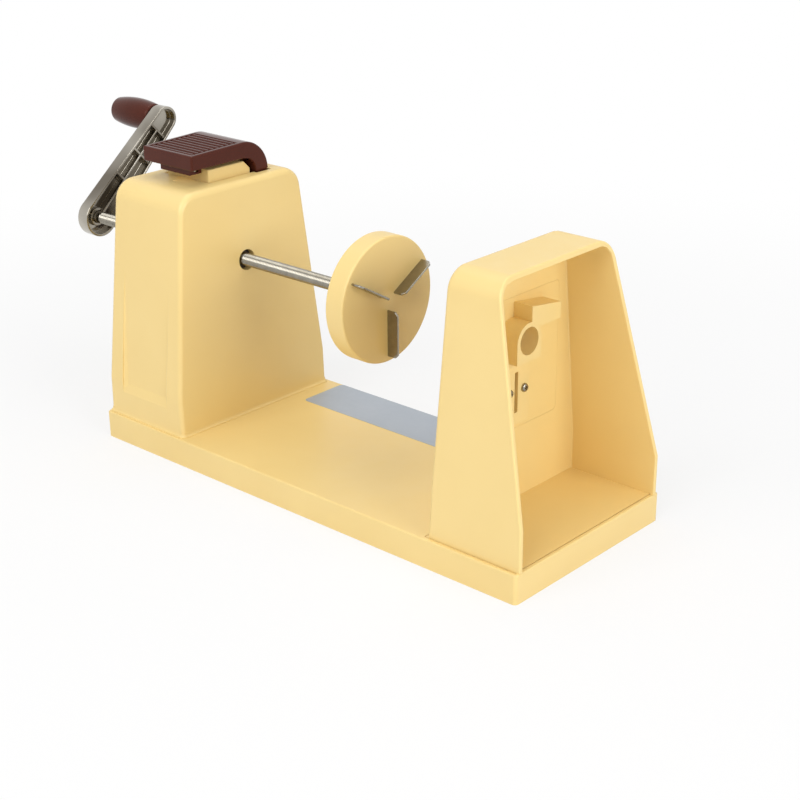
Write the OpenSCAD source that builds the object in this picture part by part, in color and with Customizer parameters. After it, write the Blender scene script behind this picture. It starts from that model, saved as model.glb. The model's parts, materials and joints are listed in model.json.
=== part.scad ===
// Crank-fed turning slicer: a base with a crank tower and a blade tower.
// Millimetres. Origin on the table under the middle of the base, +X from the crank to the blades, +Z up.

/* [Base] */
// Length of the base along X
base_l = 330; // [300:1:380]
// Width of the base along Y
base_w = 130; // [128:1:160]
// Height of the deck above the table
base_h = 17.2; // [16:0.1:24]
// Thickness of the side walls of the base
base_wall = 3; // [2:0.1:4]
// Thickness of the deck
deck_t = 3; // [2:0.1:4]
// Radius of the upright corners of the base
base_corner_r = 2.5; // [2:0.5:8]
// Thickness of the ribs under the deck
rib_t = 2; // [1.2:0.1:3]
// Height of the ribs above the table
rib_z = 2.5; // [1:0.1:5]

/* [Feet] */
// Diameter of a rubber foot pad
pad_d = 16; // [10:0.5:18]
// Thickness of a rubber foot pad
pad_t = 2.4; // [1.6:0.1:4]
// Wall of the socket round a pad
pad_wall = 3; // [2:0.1:4]
// Distance of the pads from the ends of the base
pad_inset_x = 16; // [14:0.5:20]
// Distance of the pads from the sides of the base
pad_inset_y = 13; // [12.5:0.5:20]

/* [Towers] */
// Height of both towers above the table
tower_h = 165; // [155:1:185]
// Width of both towers at the foot
tower_w = 124.4; // [120:0.2:126]
// Height above the table where the sides start to lean in
tower_kink_z = 40.8; // [30:0.2:60]
// Lean of the sides above the kink, in degrees
tower_lean = 6.45; // [2:0.05:8]
// Radius of the rounded shoulders
tower_corner_r = 13; // [8:0.5:18]

/* [Crank tower] */
// Gap between the end of the base and the foot of the crank tower
crank_end_gap = 1.5; // [1:0.1:4]
// Depth of the crank tower at its foot
crank_tower_l = 69.1; // [66:0.1:80]
// Wall of the crank tower
crank_wall = 3; // [2:0.1:4]
// Draft of the face toward the blades, in degrees
crank_front_draft = 2.1; // [0.5:0.1:2.6]
// Draft of the face toward the crank, in degrees
crank_rear_draft = 1.15; // [0.5:0.05:2.6]
// Gap between the top of the tower and the block that stands in its slot
top_slot_gap = 1.2; // [0.8:0.1:2]
// Width of the hinge bay in the top, along X
top_slot_w = 46; // [44:0.1:47]
// Diameter of the small hole in the top
top_hole_d = 2.4; // [1:0.1:4]
// Distance of the small hole from the top slot
top_hole_gap = 9.3; // [6:0.1:11]
// Length of the grip recess in each side, along X
grip_l = 42; // [30:0.5:50]
// Depth of the grip recess at its ledge
grip_depth = 1.8; // [1:0.1:2.2]
// Height of the foot of the grip's ledge above the table
grip_z0 = 33; // [28:0.5:34]
// Height of the grip's ledge
grip_ledge = 6; // [4:0.5:7]
// Height of the top of the grip recess above the table
grip_z1 = 112; // [90:1:120]
// Slope of the grip recess's ends at the ledge, along X
grip_end = 3; // [1:0.5:6]

/* [Blade tower] */
// Depth of the blade tower at its foot
blade_tower_l = 61; // [56:0.5:70]
// Thickness of the blade tower's wall that holds the cutter
blade_wall = 4; // [3:0.1:5]
// Thickness of the blade tower's sides and roof
hood_wall = 2.8; // [2.4:0.1:4]
// Length of the end of the deck that the blade tower's seat takes up
seat_l = 64; // [63:0.5:76]
// Rim of the base left standing at the end of the seat
seat_rim = 2.4; // [1.5:0.1:4]
// Thickness of the floor of the blade tower
floor_t = 2.5; // [2:0.1:3.5]
// Lean of the open rim above the kink, in degrees
rim_lean = 12.7; // [6:0.1:14]
// Parting gap round the floor of the blade tower
parting_gap = 0.4; // [0.2:0.05:0.8]

/* [Feed shaft] */
// Diameter of the threaded shaft
shaft_d = 8; // [6:0.1:10]
// Height of the shaft above the table
shaft_z = 115.5; // [108:0.5:124]
// Distance from the foot of the crank tower to the back of the disc
disc_out = 100.4; // [60:0.2:110]
// Distance from the foot of the crank tower to the crank arm
arm_out = 76.5; // [50:0.5:100]
// Diameter of the holes in the tower for the shaft
tower_hole_d = 13; // [11:0.1:15]
// Outer diameter of a shaft bush
bush_d = 16; // [15.4:0.1:20]
// Length of a shaft bush
bush_l = 10; // [6:0.1:10.4]
// Depth of a bush behind the outside of the tower
bush_recess = 4.5; // [3.5:0.1:5]
// Wall of the housing round a bush
housing_wall = 3; // [2:0.1:4]

/* [Holder disc] */
// Diameter of the holder disc
disc_d = 75; // [60:0.5:84]
// Thickness of the holder disc
disc_t = 13; // [11:0.1:16]
// Diameter of the hub behind the disc
hub_d = 22; // [16:0.5:30]
// Length of the hub behind the disc
hub_l = 8; // [6:0.1:12]
// Depth of the shaft in the hub and disc
hub_bore_l = 16; // [12:0.1:18]
// Diameter of the cross pin
disc_pin_d = 3; // [2:0.1:3.5]
// Number of fins
fin_n = 3; // [3:1:6]
// Turn of the first fin from +Y toward +Z at rest, in degrees
fin_turn = 30; // [0:1:119]
// Distance of a fin's inner end from the axis
fin_r0 = 6; // [5:0.5:12]
// Distance of a fin's outer end from the axis
fin_r1 = 34; // [24:0.5:35]
// Height of the fins in front of the disc
fin_h = 7.8; // [5:0.1:12]
// Depth of the fins in the disc
fin_root = 5; // [3:0.1:7]
// Thickness of a fin
fin_t = 1.2; // [0.8:0.1:2]
// Thickness of the stop washer behind the hub
washer_t = 2; // [1:0.1:4]
// Diameter of the stop washer
washer_d = 19; // [14:0.5:26]

/* [Crank] */
// Distance between the shaft and the knob
arm_l = 82.7; // [60:0.1:88]
// Angle of the arm from +Y toward +Z at rest, in degrees
arm_angle = 42.7; // [0:0.1:90]
// Radius of the shaft end of the arm
arm_hub_r = 12.8; // [11:0.1:16]
// Radius of the knob end of the arm
arm_tip_r = 8.7; // [7.5:0.1:12]
// Thickness of the arm
arm_t = 10; // [8:0.1:12]
// Thickness of the outer face of the arm
arm_face_t = 2.5; // [2:0.1:3.5]
// Wall of the channel in the arm
arm_wall = 1.8; // [1.2:0.1:2.5]
// Wall of the boss round the shaft in the arm
arm_boss_wall = 2.2; // [2:0.1:3]
// Depth of that boss below the rim of the channel
arm_boss_drop = 4; // [0.5:0.1:5]
// Distance from the knob's axis to the first rib across the channel
arm_bay_l = 10.4; // [9.5:0.1:14]
// Number of ribs across the channel
arm_rib_n = 3; // [1:1:3]
// Spacing of the ribs across the channel
arm_rib_pitch = 21; // [12:0.5:24]
// Thickness of the ribs in the channel
arm_rib_t = 1.6; // [1:0.1:2.4]
// Depth of the ribs below the rim of the channel
arm_rib_drop = 2; // [1:0.1:4]
// Diameter of the screw that holds the arm
crank_screw_d = 5; // [4:0.1:5.5]
// Diameter of that screw's head
crank_head_d = 13; // [10:0.1:16]
// Height of that screw's head
crank_head_h = 4; // [2:0.1:6]
// Diameter of the knob post
post_d = 6; // [5:0.1:7]
// Depth of the knob post in the arm
post_root_l = 4; // [3.5:0.1:5]
// Diameter of the post's shoulder
post_shoulder_d = 11; // [9:0.1:14]
// Thickness of the post's shoulder
post_shoulder_t = 1.5; // [1:0.1:3]
// Length of the knob
knob_l = 38; // [28:0.5:60]
// Diameter of the knob at its belly
knob_d = 21; // [18:0.5:26]
// Diameter of the knob at its ends
knob_end_d = 17; // [15.5:0.5:20]
// Diameter of the recess in the knob's end
knob_recess_d = 12; // [11:0.1:13.5]
// Depth of the recess in the knob's end
knob_recess_l = 7; // [6:0.1:9]
// Thickness of the cap in the knob's end
cap_t = 2; // [1:0.1:2.5]

/* [Release lever] */
// Length of the flat pad from its near edge to the start of the bend
pad_reach = 42.5; // [36:0.5:50]
// Place of the pad's near edge along Y
lever_y0 = -31.5; // [-36:0.5:-30]
// Width of the lever
lever_w = 44.5; // [42:0.5:54]
// Height of the pad's underside above the tower
pad_rise = 10; // [9:0.1:14]
// Thickness of the pad at its near edge
lever_near_t = 9; // [8:0.1:12]
// Inner radius of the bend
bend_r = 9; // [8:0.1:9.2]
// Outer radius of the bend
bend_outer_r = 19; // [18:0.1:20]
// Clearance between the end of the bend and the tower
tail_clear = 1; // [0.8:0.1:2]
// Number of ridges across the pad
ridge_n = 9; // [4:1:9]
// Spacing of the ridges
ridge_pitch = 4; // [3:0.1:4.2]
// Width of a ridge
ridge_w = 2.6; // [1.5:0.1:2.8]
// Depth of the tray that the ridges stand in
tray_depth = 1.2; // [0.5:0.1:2]
// Rim round the tray
tray_rim = 3; // [2:0.1:4]
// Gap between the ends of the ridges and the rim
ridge_gap = 0.8; // [0.5:0.1:1.2]
// Depth of the hinge below the top of the tower
hinge_drop = 5; // [4.8:0.1:7]
// Diameter of the hinge pin
hinge_pin_d = 4; // [3:0.1:5]
// Radius of the hinge eye on the lever
hinge_eye_r = 5; // [4.5:0.1:5.4]
// Wall of the cheeks that hold the hinge pin
cheek_t = 5; // [4.8:0.1:6]

/* [Half nut] */
// Thickness of the nut carrier along X
carrier_l = 30; // [26:0.5:32]
// Width of the nut carrier along Y
carrier_w = 28; // [26:0.5:30]
// Thickness of a leg of the nut carrier
leg_t = 5.8; // [5:0.1:6.2]
// Height of the window round the shaft, above the shaft's axis
window_up = 11.5; // [11:0.1:16]
// Depth of the carrier's foot below the shaft's axis
foot_down = 22.5; // [21:0.1:26]
// Thickness of the carrier's foot
foot_t = 8; // [6:0.1:9]
// Near face of the visible block along Y
block_y0 = -16; // [-18:0.1:-15]
// Far face of the visible block along Y
block_y1 = 18; // [16:0.1:18.5]
// Width of the visible block along X
block_w = 38; // [34:0.1:41]
// Clearance between the block and the lever
block_clear = 2.5; // [2:0.1:4]
// Slope at the far top edge of the block
block_slope = 5; // [4.5:0.1:8]
// Depth of the block below the tower's top wall
block_sink = 12; // [8:0.5:14]
// Length of the half nut along X
nut_l = 20; // [14:0.5:26]
// Clearance of the half nut round the shaft
nut_clear = 0.05; // [0.02:0.01:0.1]
// Width of the tongue that carries the link pin
tongue_w = 14; // [10:0.5:16]
// Place of the link pin along Y
link_y = -21; // [-22:0.1:-20.5]
// Depth of the link pin below the pad
link_drop = 2.6; // [2.4:0.1:3]
// Diameter of the link pin
link_d = 2.4; // [1.6:0.1:2.6]
// Play of the link pin along its slot
link_play = 1.2; // [1.1:0.1:1.6]
// Width of a lug under the pad
lug_w = 6; // [4:0.1:7]
// Height of the lugs above the tower
lug_rise = 5; // [4.8:0.1:5.4]
// Height of the tongue above the tower
tongue_rise = 4.6; // [4.5:0.1:5]
// Gap between moving pieces
run_gap = 0.3; // [0.2:0.05:0.5]
// Wall of the nut guide
guide_wall = 2.7; // [2:0.1:3]
// Depth of the guide's rim below the shaft's axis
guide_down = 13.5; // [13:0.1:16]
// Height of the spring's seat above the table
seat_z = 66; // [56:0.5:70]
// Thickness of the spring's seat
seat_t = 4; // [3:0.1:6]
// Outer diameter of the return spring
spring_d = 14; // [11:0.5:18]
// Wire of the return spring
wire_d = 1.6; // [1:0.1:2]
// Turns of the return spring
spring_turns = 7; // [5:1:9]

/* [Cutter] */
// Near edge of the window for the cutter plate, along Y
window_y0 = -24; // [-30:0.5:-20]
// Far edge of the window for the cutter plate, along Y
window_y1 = 42; // [41:0.5:43]
// Lower edge of the window above the table
window_z0 = 60; // [52:0.5:60.5]
// Upper edge of the window above the table
window_z1 = 137; // [136.5:0.5:142]
// Play of the plate in its window
plate_play = 0.1; // [0.1:0.05:0.4]
// Flange of the plate round the window
flange_w = 3; // [2.5:0.1:4]
// Thickness of the flange
flange_t = 2.4; // [2:0.1:3]
// Inner radius of the core tube
core_r = 7.8; // [6:0.1:8]
// Outer radius of the core tube
core_outer_r = 10.3; // [10:0.1:11]
// Depth of the core tube and the hood behind the wall
core_l = 12.5; // [8:0.5:16]
// Depth of the tube's foot below the axis
core_foot = 11.5; // [11:0.1:12]
// Gap between the core tube and the blade slot
slot_in = 0.4; // [0.2:0.1:1]
// Distance of the slot's outer end from the axis
slot_r = 38; // [34:0.5:38.5]
// Lower edge of the blade slot above the axis
slot_low = 1.5; // [1:0.1:2]
// Height of the blade slot
slot_h = 4.5; // [3:0.1:5]
// Near side of the hood along Y
hood_y0 = 2; // [1:0.1:4]
// Far side of the hood along Y
hood_y1 = 27; // [22:0.5:32]
// Height of the hood's near edge above the axis
hood_near = 18.8; // [17:0.1:20]
// Height of the hood's far edge above the axis
hood_far = 15.1; // [13:0.1:17]
// Height of the main blade
blade_h = 16; // [12:0.5:16.5]
// Thickness of the main blade
blade_t = 1.2; // [0.8:0.1:2]
// Height of the blade's edge in front of the plate
blade_lift = 2.2; // [1.5:0.1:3]
// Depth of the blade's edge over the slot
blade_cover = 1; // [0.2:0.1:1.5]
// Height of the lifted part of the blade
blade_bend = 7; // [4:0.1:8]
// Reach of the blade past each end of the slot
blade_reach = 1.5; // [1:0.1:2]
// Length of the comb blade
comb_l = 36; // [28:0.5:37]
// Thickness of the comb blade
comb_t = 1.4; // [0.8:0.1:2]
// Spacing of the comb's teeth
tooth_pitch = 3; // [2:0.5:6]
// Height of the comb's teeth in front of the plate
tooth_h = 3.5; // [2:0.1:4.5]
// Width of the clamp behind the comb
clamp_w = 22; // [20:0.5:26]
// Thickness of the clamp behind the comb
clamp_t = 4.5; // [4:0.1:6]
// Rim of the clamp past the comb
clamp_wall = 2; // [1:0.1:3]

/* [Screws] */
// Diameter of the assembly screws
screw_d = 3.5; // [2.5:0.1:4]
// Diameter of an assembly screw's head
screw_head_d = 7; // [5.5:0.1:8]
// Height of an assembly screw's head
screw_head_h = 2.2; // [1.5:0.1:2.4]
// Diameter of the small screws at the blades
small_d = 2.6; // [2:0.1:3]
// Diameter of a small screw's head
small_head_d = 5; // [4:0.1:5.5]
// Height of a small screw's head
small_head_h = 1.6; // [1:0.1:2]
// Radial clearance of fitted pins and screws
fit = 0.03; // [0.01:0.01:0.06]
// Radial clearance of turning pins and shafts
turn_fit = 0.05; // [0.02:0.01:0.1]

/* [Label] */
// Width of the plain sheet on the deck, along Y
sheet_w = 35; // [20:0.5:40]
// Distance of the sheet from the edge of the deck
sheet_edge = 1; // [0.5:0.1:4]
// Gap between the sheet and the foot of the crank tower
sheet_gap = 12.4; // [4:0.1:30]
// Gap between the sheet and the blade tower
sheet_end_gap = 6; // [2:0.5:30]
// Thickness of the sheet
sheet_t = 0.3; // [0.2:0.05:0.6]

/* [Hidden] */
$fn = 64;

cream = "#f0d796";
brown = "#4a2a22";
steel = "#c9ccce";
chrome = "#d8d6d0";
brass = "#b08d4a";
rubber = "#3a3a3a";
paper = "#cfd6dc";
dark = "#5b4a35";

// A cut runs past the face that it opens by this much
over = 1;
// Pieces of one moulding overlap by this much
weld = 0.5;

half_w = tower_w / 2;
lean = tan(tower_lean);
crank_x0 = -base_l / 2 + crank_end_gap;
crank_x1 = crank_x0 + crank_tower_l;
crank_x = (crank_x0 + crank_x1) / 2;
front_slope = tan(crank_front_draft);
rear_slope = tan(crank_rear_draft);
seat_x = base_l / 2 - seat_l;
wall_x = base_l / 2 - blade_tower_l;
wall_in_x = wall_x + blade_wall;
floor_z = base_h - floor_t;
seat_x1 = base_l / 2 - seat_rim;
floor_x1 = seat_x1 - parting_gap;
rim_slope = tan(rim_lean);

// The tower's faces at the height of the shaft
front_face_x = crank_x1 - front_slope * (shaft_z - base_h);
rear_face_x = crank_x0 + rear_slope * (shaft_z - base_h);

// The lever is centred on the middle of the tower's top
lever_x = crank_x + (rear_slope - front_slope) * (tower_h - base_h) / 2;
slot_x0 = lever_x - top_slot_w / 2;
slot_x1 = lever_x + top_slot_w / 2;
pad_under_z = tower_h + pad_rise;
bend_y = lever_y0 + pad_reach;
bend_z = pad_under_z - bend_r;
lever_top_z = bend_z + bend_outer_r;
hinge_shift = 1;
hinge_y = bend_y + (bend_r + bend_outer_r) / 2 + hinge_shift;
hinge_z = tower_h - hinge_drop;
hinge_wall = 3;
eye_gap = 1.5;
bay_y0 = hinge_y - hinge_eye_r - eye_gap;
bay_y1 = hinge_y + hinge_eye_r + eye_gap / 2;
link_z = pad_under_z - link_drop;
link_wall = 1.6;
link_end_y = link_y - link_d / 2 - link_wall;

arm_x1 = crank_x0 - arm_out;
arm_x0 = arm_x1 - arm_t;
arm_floor_x = arm_x0 + arm_face_t;
tip_y = arm_l * cos(arm_angle);
tip_z = shaft_z + arm_l * sin(arm_angle);
disc_x0 = crank_x1 + disc_out;
disc_x1 = disc_x0 + disc_t;
shaft_x1 = disc_x0 - hub_l + hub_bore_l;
disc_pin_x = disc_x0 - hub_l / 2;
knob_x1 = arm_x0 - post_shoulder_t - run_gap;
knob_x0 = knob_x1 - knob_l;
knob_floor_x = knob_x0 + knob_recess_l;

carrier_x0 = lever_x - carrier_l / 2;
foot_z = shaft_z - foot_down;
guide_top_z = shaft_z - guide_down;
guide_in_l = carrier_l + 2 * run_gap;
guide_in_w = carrier_w + 2 * run_gap;
nut_screw_z = foot_z + foot_t + small_head_d;
nut_seat_y = carrier_w / 2 - small_head_h - weld;

// The coil of the return spring: rings of points square to its wire
spring_sides = 6;
spring_steps = 8;
spring_r = (spring_d - wire_d) / 2;
spring_z0 = seat_z + wire_d / 2 + turn_fit;
spring_z1 = foot_z - wire_d / 2 - turn_fit;
spring_rings = spring_turns * spring_steps;
spring_rise = (spring_z1 - spring_z0) / spring_rings;
spring_climb = atan2(spring_rise * spring_steps, 2 * PI * spring_r);

plate_x0 = wall_x - flange_t;
slot_y0 = core_outer_r + slot_in;
slot_z0 = shaft_z + slot_low;
slot_z1 = slot_z0 + slot_h;
edge_z = slot_z1 - blade_cover;
comb_gap = 1;
comb_top_z = shaft_z - core_foot - comb_gap;
comb_z0 = comb_top_z - comb_l;

// Screws that hold the towers, the guide, the plate, the blade and the clamp
tip_gap = 1;
screw_seat_z = 6;
boss_wall = 3;
pillar_d = 9;
pillar_h = 16;
pillar_cap = 2;
pillar_hole = pillar_h - pillar_cap;
peg_seat_z = 4.4;
peg_d = 8;
peg_cap = 1.2;
socket_wall = 2;
ear_r = 4.5;
ear_out = flange_w + small_head_d / 2 - weld;
wall_skin = 0.8;
blade_screw_l = 5.5;
clamp_screw_l = 5;
clamp_end = clamp_wall + 5;
nut_screw_l = 9;
crank_screw_l = 16;
knob_screw_l = 12;
crank_pillar_x = crank_tower_l / 2 - crank_wall - pillar_d / 2 - weld;
crank_pillar_y = 34;
guide_pillar_x = (guide_in_l - pillar_d) / 2 - weld;
peg_y = 30;
peg_inset = 10;
crank_screw_spots = [
    for (sx = [-1, 1], sy = [-1, 1]) [crank_x + sx * crank_pillar_x, sy * crank_pillar_y]
];
guide_screw_spots = [for (sx = [-1, 1]) [lever_x + sx * guide_pillar_x, 0]];
blade_screw_spots = [
    for (x = [wall_in_x + peg_d / 2 + weld, base_l / 2 - peg_inset], sy = [-1, 1]) [x, sy * peg_y]
];
cutter_screw_spots = [
    for (y = [window_y0 + 2 * ear_r, window_y1 - 2 * ear_r], z = [window_z0 - ear_out, window_z1 + ear_out])
        [y, z]
];
blade_screw_places = [
    for (y = [slot_y0 + small_head_d, slot_r - small_head_d]) [y, edge_z + blade_h - small_head_d]
];
clamp_screw_places = [
    for (s = [-1, 1]) [s * (clamp_w / 2 - small_head_d + weld), (comb_z0 + comb_top_z) / 2]
];
pad_spots = [
    for (sx = [-1, 1], sy = [-1, 1])
        [sx * (base_l / 2 - pad_inset_x), sy * (base_w / 2 - pad_inset_y)]
];

// An outline in Y and Z, pushed along X
module along_x(x0, x1) {
    translate([x0, 0, 0]) rotate([90, 0, 90]) linear_extrude(x1 - x0) children();
}

// An outline in X and Z, pushed along Y
module along_y(y0, y1) {
    translate([0, y1, 0]) rotate([90, 0, 0]) linear_extrude(y1 - y0) children();
}

// A rod along +X
module rod_x(x0, x1, y, z, d) {
    translate([x0, y, z]) rotate([0, 90, 0]) cylinder(d = d, h = x1 - x0);
}

// A rod along +Y
module rod_y(y0, y1, x, z, d) {
    translate([x, y1, z]) rotate([90, 0, 0]) cylinder(d = d, h = y1 - y0);
}

module box(x0, x1, y0, y1, z0, z1) {
    translate([x0, y0, z0]) cube([x1 - x0, y1 - y0, z1 - z0]);
}

// A rectangle with round corners, from one corner to the other
module round_rect(a0, a1, b0, b1, r) {
    translate([a0 + r, b0]) square([a1 - a0 - 2 * r, b1 - b0]);
    translate([a0, b0 + r]) square([a1 - a0, b1 - b0 - 2 * r]);
    for (a = [a0 + r, a1 - r], b = [b0 + r, b1 - r]) translate([a, b]) circle(r);
}

module base_outline(inset) {
    round_rect(
        -base_l / 2 + inset, base_l / 2 - inset,
        -base_w / 2 + inset, base_w / 2 - inset,
        max(base_corner_r - inset, 1)
    );
}

// The front view that both towers share: upright feet, leaning sides and round shoulders
module tower_front(inset, z0) {
    w = half_w - inset;
    top = tower_h - inset;
    r = tower_corner_r - inset;
    cz = top - r;
    cy = w - lean * (cz - tower_kink_z) - r * sqrt(1 + lean * lean);
    side = [cy + r * cos(tower_lean), cz + r * sin(tower_lean)];
    polygon([
        [-w, z0], [w, z0], [w, tower_kink_z], side, [cy, top],
        [-cy, top], [-side[0], side[1]], [-w, tower_kink_z]
    ]);
    for (s = [-1, 1]) translate([s * cy, cz]) circle(r);
}

// The side view of the crank tower, with draft on both faces
module crank_side(inset, z0) {
    up = tower_h - base_h;
    down = z0 - base_h;
    polygon([
        [crank_x0 + rear_slope * down + inset, z0],
        [crank_x1 - front_slope * down - inset, z0],
        [crank_x1 - front_slope * up - inset, tower_h],
        [crank_x0 + rear_slope * up + inset, tower_h]
    ]);
}

// The side view of the blade tower: upright at the back, open rim leaning in
module blade_side(z0) {
    polygon([
        [wall_x, z0], [base_l / 2, z0], [base_l / 2, tower_kink_z],
        [base_l / 2 - rim_slope * (tower_h - tower_kink_z), tower_h], [wall_x, tower_h]
    ]);
}

// A screw that points up, with its seat at z = 0
module screw(d, l, head_d, head_h) {
    translate([0, 0, -head_h / 2]) cylinder(d = d, h = l + head_h / 2);
    translate([0, 0, -head_h]) cylinder(d = head_d, h = head_h);
}

module base_tray() color(cream) difference() {
    deck_under_z = base_h - deck_t;
    seat_under_z = floor_z - deck_t;
    rib_top_z = deck_under_z + weld;
    rib_y = base_w / 6;
    rib_x0 = crank_x1 + rib_y;
    rib_x1 = seat_x - 2 * rib_y;
    rib_end_y = base_w / 2 - weld;
    boss_d = screw_d + 2 * boss_wall;
    socket_d = peg_d + 2 * (run_gap + socket_wall);
    union() {
        difference() {
            linear_extrude(base_h) base_outline(0);
            // Seat of the blade tower, inside the rim
            box(seat_x, seat_x1, -half_w - parting_gap, half_w + parting_gap, floor_z, base_h + over);
            translate([0, 0, -over]) linear_extrude(seat_under_z + over) base_outline(base_wall);
            intersection() {
                translate([0, 0, -over]) linear_extrude(deck_under_z + over) base_outline(base_wall);
                box(-base_l, seat_x - base_wall, -base_w, base_w, -2 * over, base_h);
            }
        }
        // Ribs across and along the underside
        for (x = [rib_x0, (rib_x0 + rib_x1) / 2, rib_x1])
            box(x - rib_t / 2, x + rib_t / 2, -rib_end_y, rib_end_y, rib_z, rib_top_z);
        for (s = [-1, 1])
            box(rib_x0, seat_x + weld, s * rib_y - rib_t / 2, s * rib_y + rib_t / 2, rib_z, rib_top_z);
        for (p = concat(crank_screw_spots, guide_screw_spots)) translate([p[0], p[1], screw_seat_z])
            cylinder(d = boss_d, h = rib_top_z - screw_seat_z);
        for (p = blade_screw_spots) translate([p[0], p[1], peg_seat_z])
            cylinder(d = socket_d, h = seat_under_z + weld - peg_seat_z);
        for (p = pad_spots) translate([p[0], p[1], 0])
            cylinder(d = pad_d + 2 * pad_wall, h = (p[0] > seat_x ? seat_under_z : deck_under_z) + weld);
    }
    for (p = concat(crank_screw_spots, guide_screw_spots)) translate([p[0], p[1], 0])
        cylinder(d = screw_d + 2 * fit, h = base_h + over);
    for (p = blade_screw_spots) {
        translate([p[0], p[1], 0]) cylinder(d = screw_d + 2 * fit, h = base_h);
        translate([p[0], p[1], peg_seat_z + socket_wall]) cylinder(d = peg_d + 2 * run_gap, h = base_h);
    }
    for (p = pad_spots) translate([p[0], p[1], -over])
        cylinder(d = pad_d + 2 * fit, h = pad_t + over);
}

module foot_pads() color(rubber) {
    for (p = pad_spots) translate([p[0], p[1], 0]) cylinder(d = pad_d, h = pad_t);
}

module label_sheet() color(paper) {
    y1 = base_w / 2 - sheet_edge;
    box(crank_x1 + sheet_gap, seat_x - sheet_end_gap, y1 - sheet_w, y1, base_h, base_h + sheet_t);
}

// The grip recess in the far side: a floor that deepens down to a sloping ledge, between sloping ends
grip_top_y = half_w - lean * (grip_z1 - tower_kink_z);
module grip_cut(x0, x1) hull() {
    along_x(x0, x1) polygon([
        [half_w, grip_z0], [grip_top_y, grip_z1], [half_w + over, grip_z1], [half_w + over, grip_z0]
    ]);
    along_x(x0 + grip_end, x1 - grip_end) polygon([
        [half_w, grip_z0], [half_w - grip_depth, grip_z0 + grip_ledge], [half_w + over, grip_z0]
    ]);
}

// The inside of the wall follows the grip recess
module grip_back() {
    polygon([
        [half_w - weld, grip_z0], [half_w - grip_depth - crank_wall, grip_z0 + grip_ledge],
        [grip_top_y - crank_wall, grip_z1], [grip_top_y - weld, grip_z1], [half_w - weld, tower_kink_z]
    ]);
}

module crank_tower() color(cream) difference() {
    housing_d = bush_d + 2 * housing_wall;
    front_end = front_face_x - bush_recess - bush_l;
    rear_end = rear_face_x + bush_recess + bush_l;
    cheek_z0 = hinge_z - hinge_pin_d / 2 - hinge_wall;
    cheek_z1 = tower_h - crank_wall + weld;
    cheek_y0 = hinge_y - hinge_pin_d / 2 - hinge_wall;
    cheek_y1 = hinge_y + hinge_pin_d / 2 + hinge_wall;
    grip_x0 = crank_x - grip_l / 2;
    grip_x1 = crank_x + grip_l / 2;
    top_slot_x = block_w / 2 + top_slot_gap;
    top_slot_y = block_y0 - top_slot_gap;
    top_cut_z = tower_h - crank_wall - over;
    top_cut_h = crank_wall + 2 * over;
    union() {
        difference() {
            intersection() {
                along_x(crank_x0 - over, crank_x1 + over) tower_front(0, base_h);
                along_y(-base_w, base_w) crank_side(0, base_h);
            }
            intersection() {
                along_x(crank_x0 - over, crank_x1 + over) tower_front(crank_wall, base_h - over);
                along_y(-base_w, base_w) crank_side(crank_wall, base_h - over);
            }
        }
        // Housings for the two shaft bushes
        rod_x(front_end, front_face_x - crank_wall + weld, 0, shaft_z, housing_d);
        rod_x(rear_face_x + crank_wall - weld, rear_end, 0, shaft_z, housing_d);
        // Cheeks that hold the hinge pin, under the top
        for (x = [slot_x0 - cheek_t, slot_x1])
            box(x, x + cheek_t, cheek_y0, cheek_y1, cheek_z0, cheek_z1);
        // Screw pillars, joined to the end walls by webs
        for (p = crank_screw_spots) {
            out = p[0] < crank_x ? crank_x0 + crank_wall : crank_x1 - crank_wall;
            x0 = min(p[0], out) - weld;
            x1 = max(p[0], out) + weld;
            translate([p[0], p[1], base_h]) cylinder(d = pillar_d, h = pillar_h);
            box(x0, x1, p[1] - rib_t / 2, p[1] + rib_t / 2, base_h, base_h + pillar_hole);
        }
        for (s = [0, 1]) mirror([0, s, 0]) along_x(grip_x0 - crank_wall, grip_x1 + crank_wall) grip_back();
    }
    for (s = [0, 1]) mirror([0, s, 0]) grip_cut(grip_x0, grip_x1);
    // Slot for the block, the hinge bay behind it and the small hole in front of it
    translate([0, 0, top_cut_z]) linear_extrude(top_cut_h) {
        translate([lever_x - top_slot_x, top_slot_y]) square([2 * top_slot_x, bay_y1 - top_slot_y]);
        translate([slot_x0, bay_y0]) square([top_slot_w, bay_y1 - bay_y0]);
        translate([lever_x, top_slot_y - top_hole_gap]) circle(d = top_hole_d);
    }
    rod_x(crank_x0 - over, crank_x1 + over, 0, shaft_z, tower_hole_d);
    rod_x(front_end - over, front_face_x - bush_recess, 0, shaft_z, bush_d + 2 * fit);
    rod_x(rear_face_x + bush_recess, rear_end + over, 0, shaft_z, bush_d + 2 * fit);
    rod_x(slot_x0 - cheek_t + over, slot_x1 + cheek_t - over, hinge_y, hinge_z, hinge_pin_d + 2 * fit);
    for (p = crank_screw_spots) translate([p[0], p[1], base_h - over])
        cylinder(d = screw_d + 2 * fit, h = pillar_hole + over);
}

module crank_tower_screws() color(steel) {
    for (p = crank_screw_spots) translate([p[0], p[1], screw_seat_z])
        screw(screw_d, base_h - screw_seat_z + pillar_hole - tip_gap, screw_head_d, screw_head_h);
}

// A plain bush, from its inner end to its outer end
module bush(x0, x1) {
    difference() {
        rod_x(x0, x1, 0, shaft_z, bush_d);
        rod_x(x0 - over, x1 + over, 0, shaft_z, shaft_d + 2 * turn_fit);
    }
}

module front_bush() color(dark) {
    bush(front_face_x - bush_recess - bush_l, front_face_x - bush_recess);
}

module rear_bush() color(dark) {
    bush(rear_face_x + bush_recess, rear_face_x + bush_recess + bush_l);
}

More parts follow.
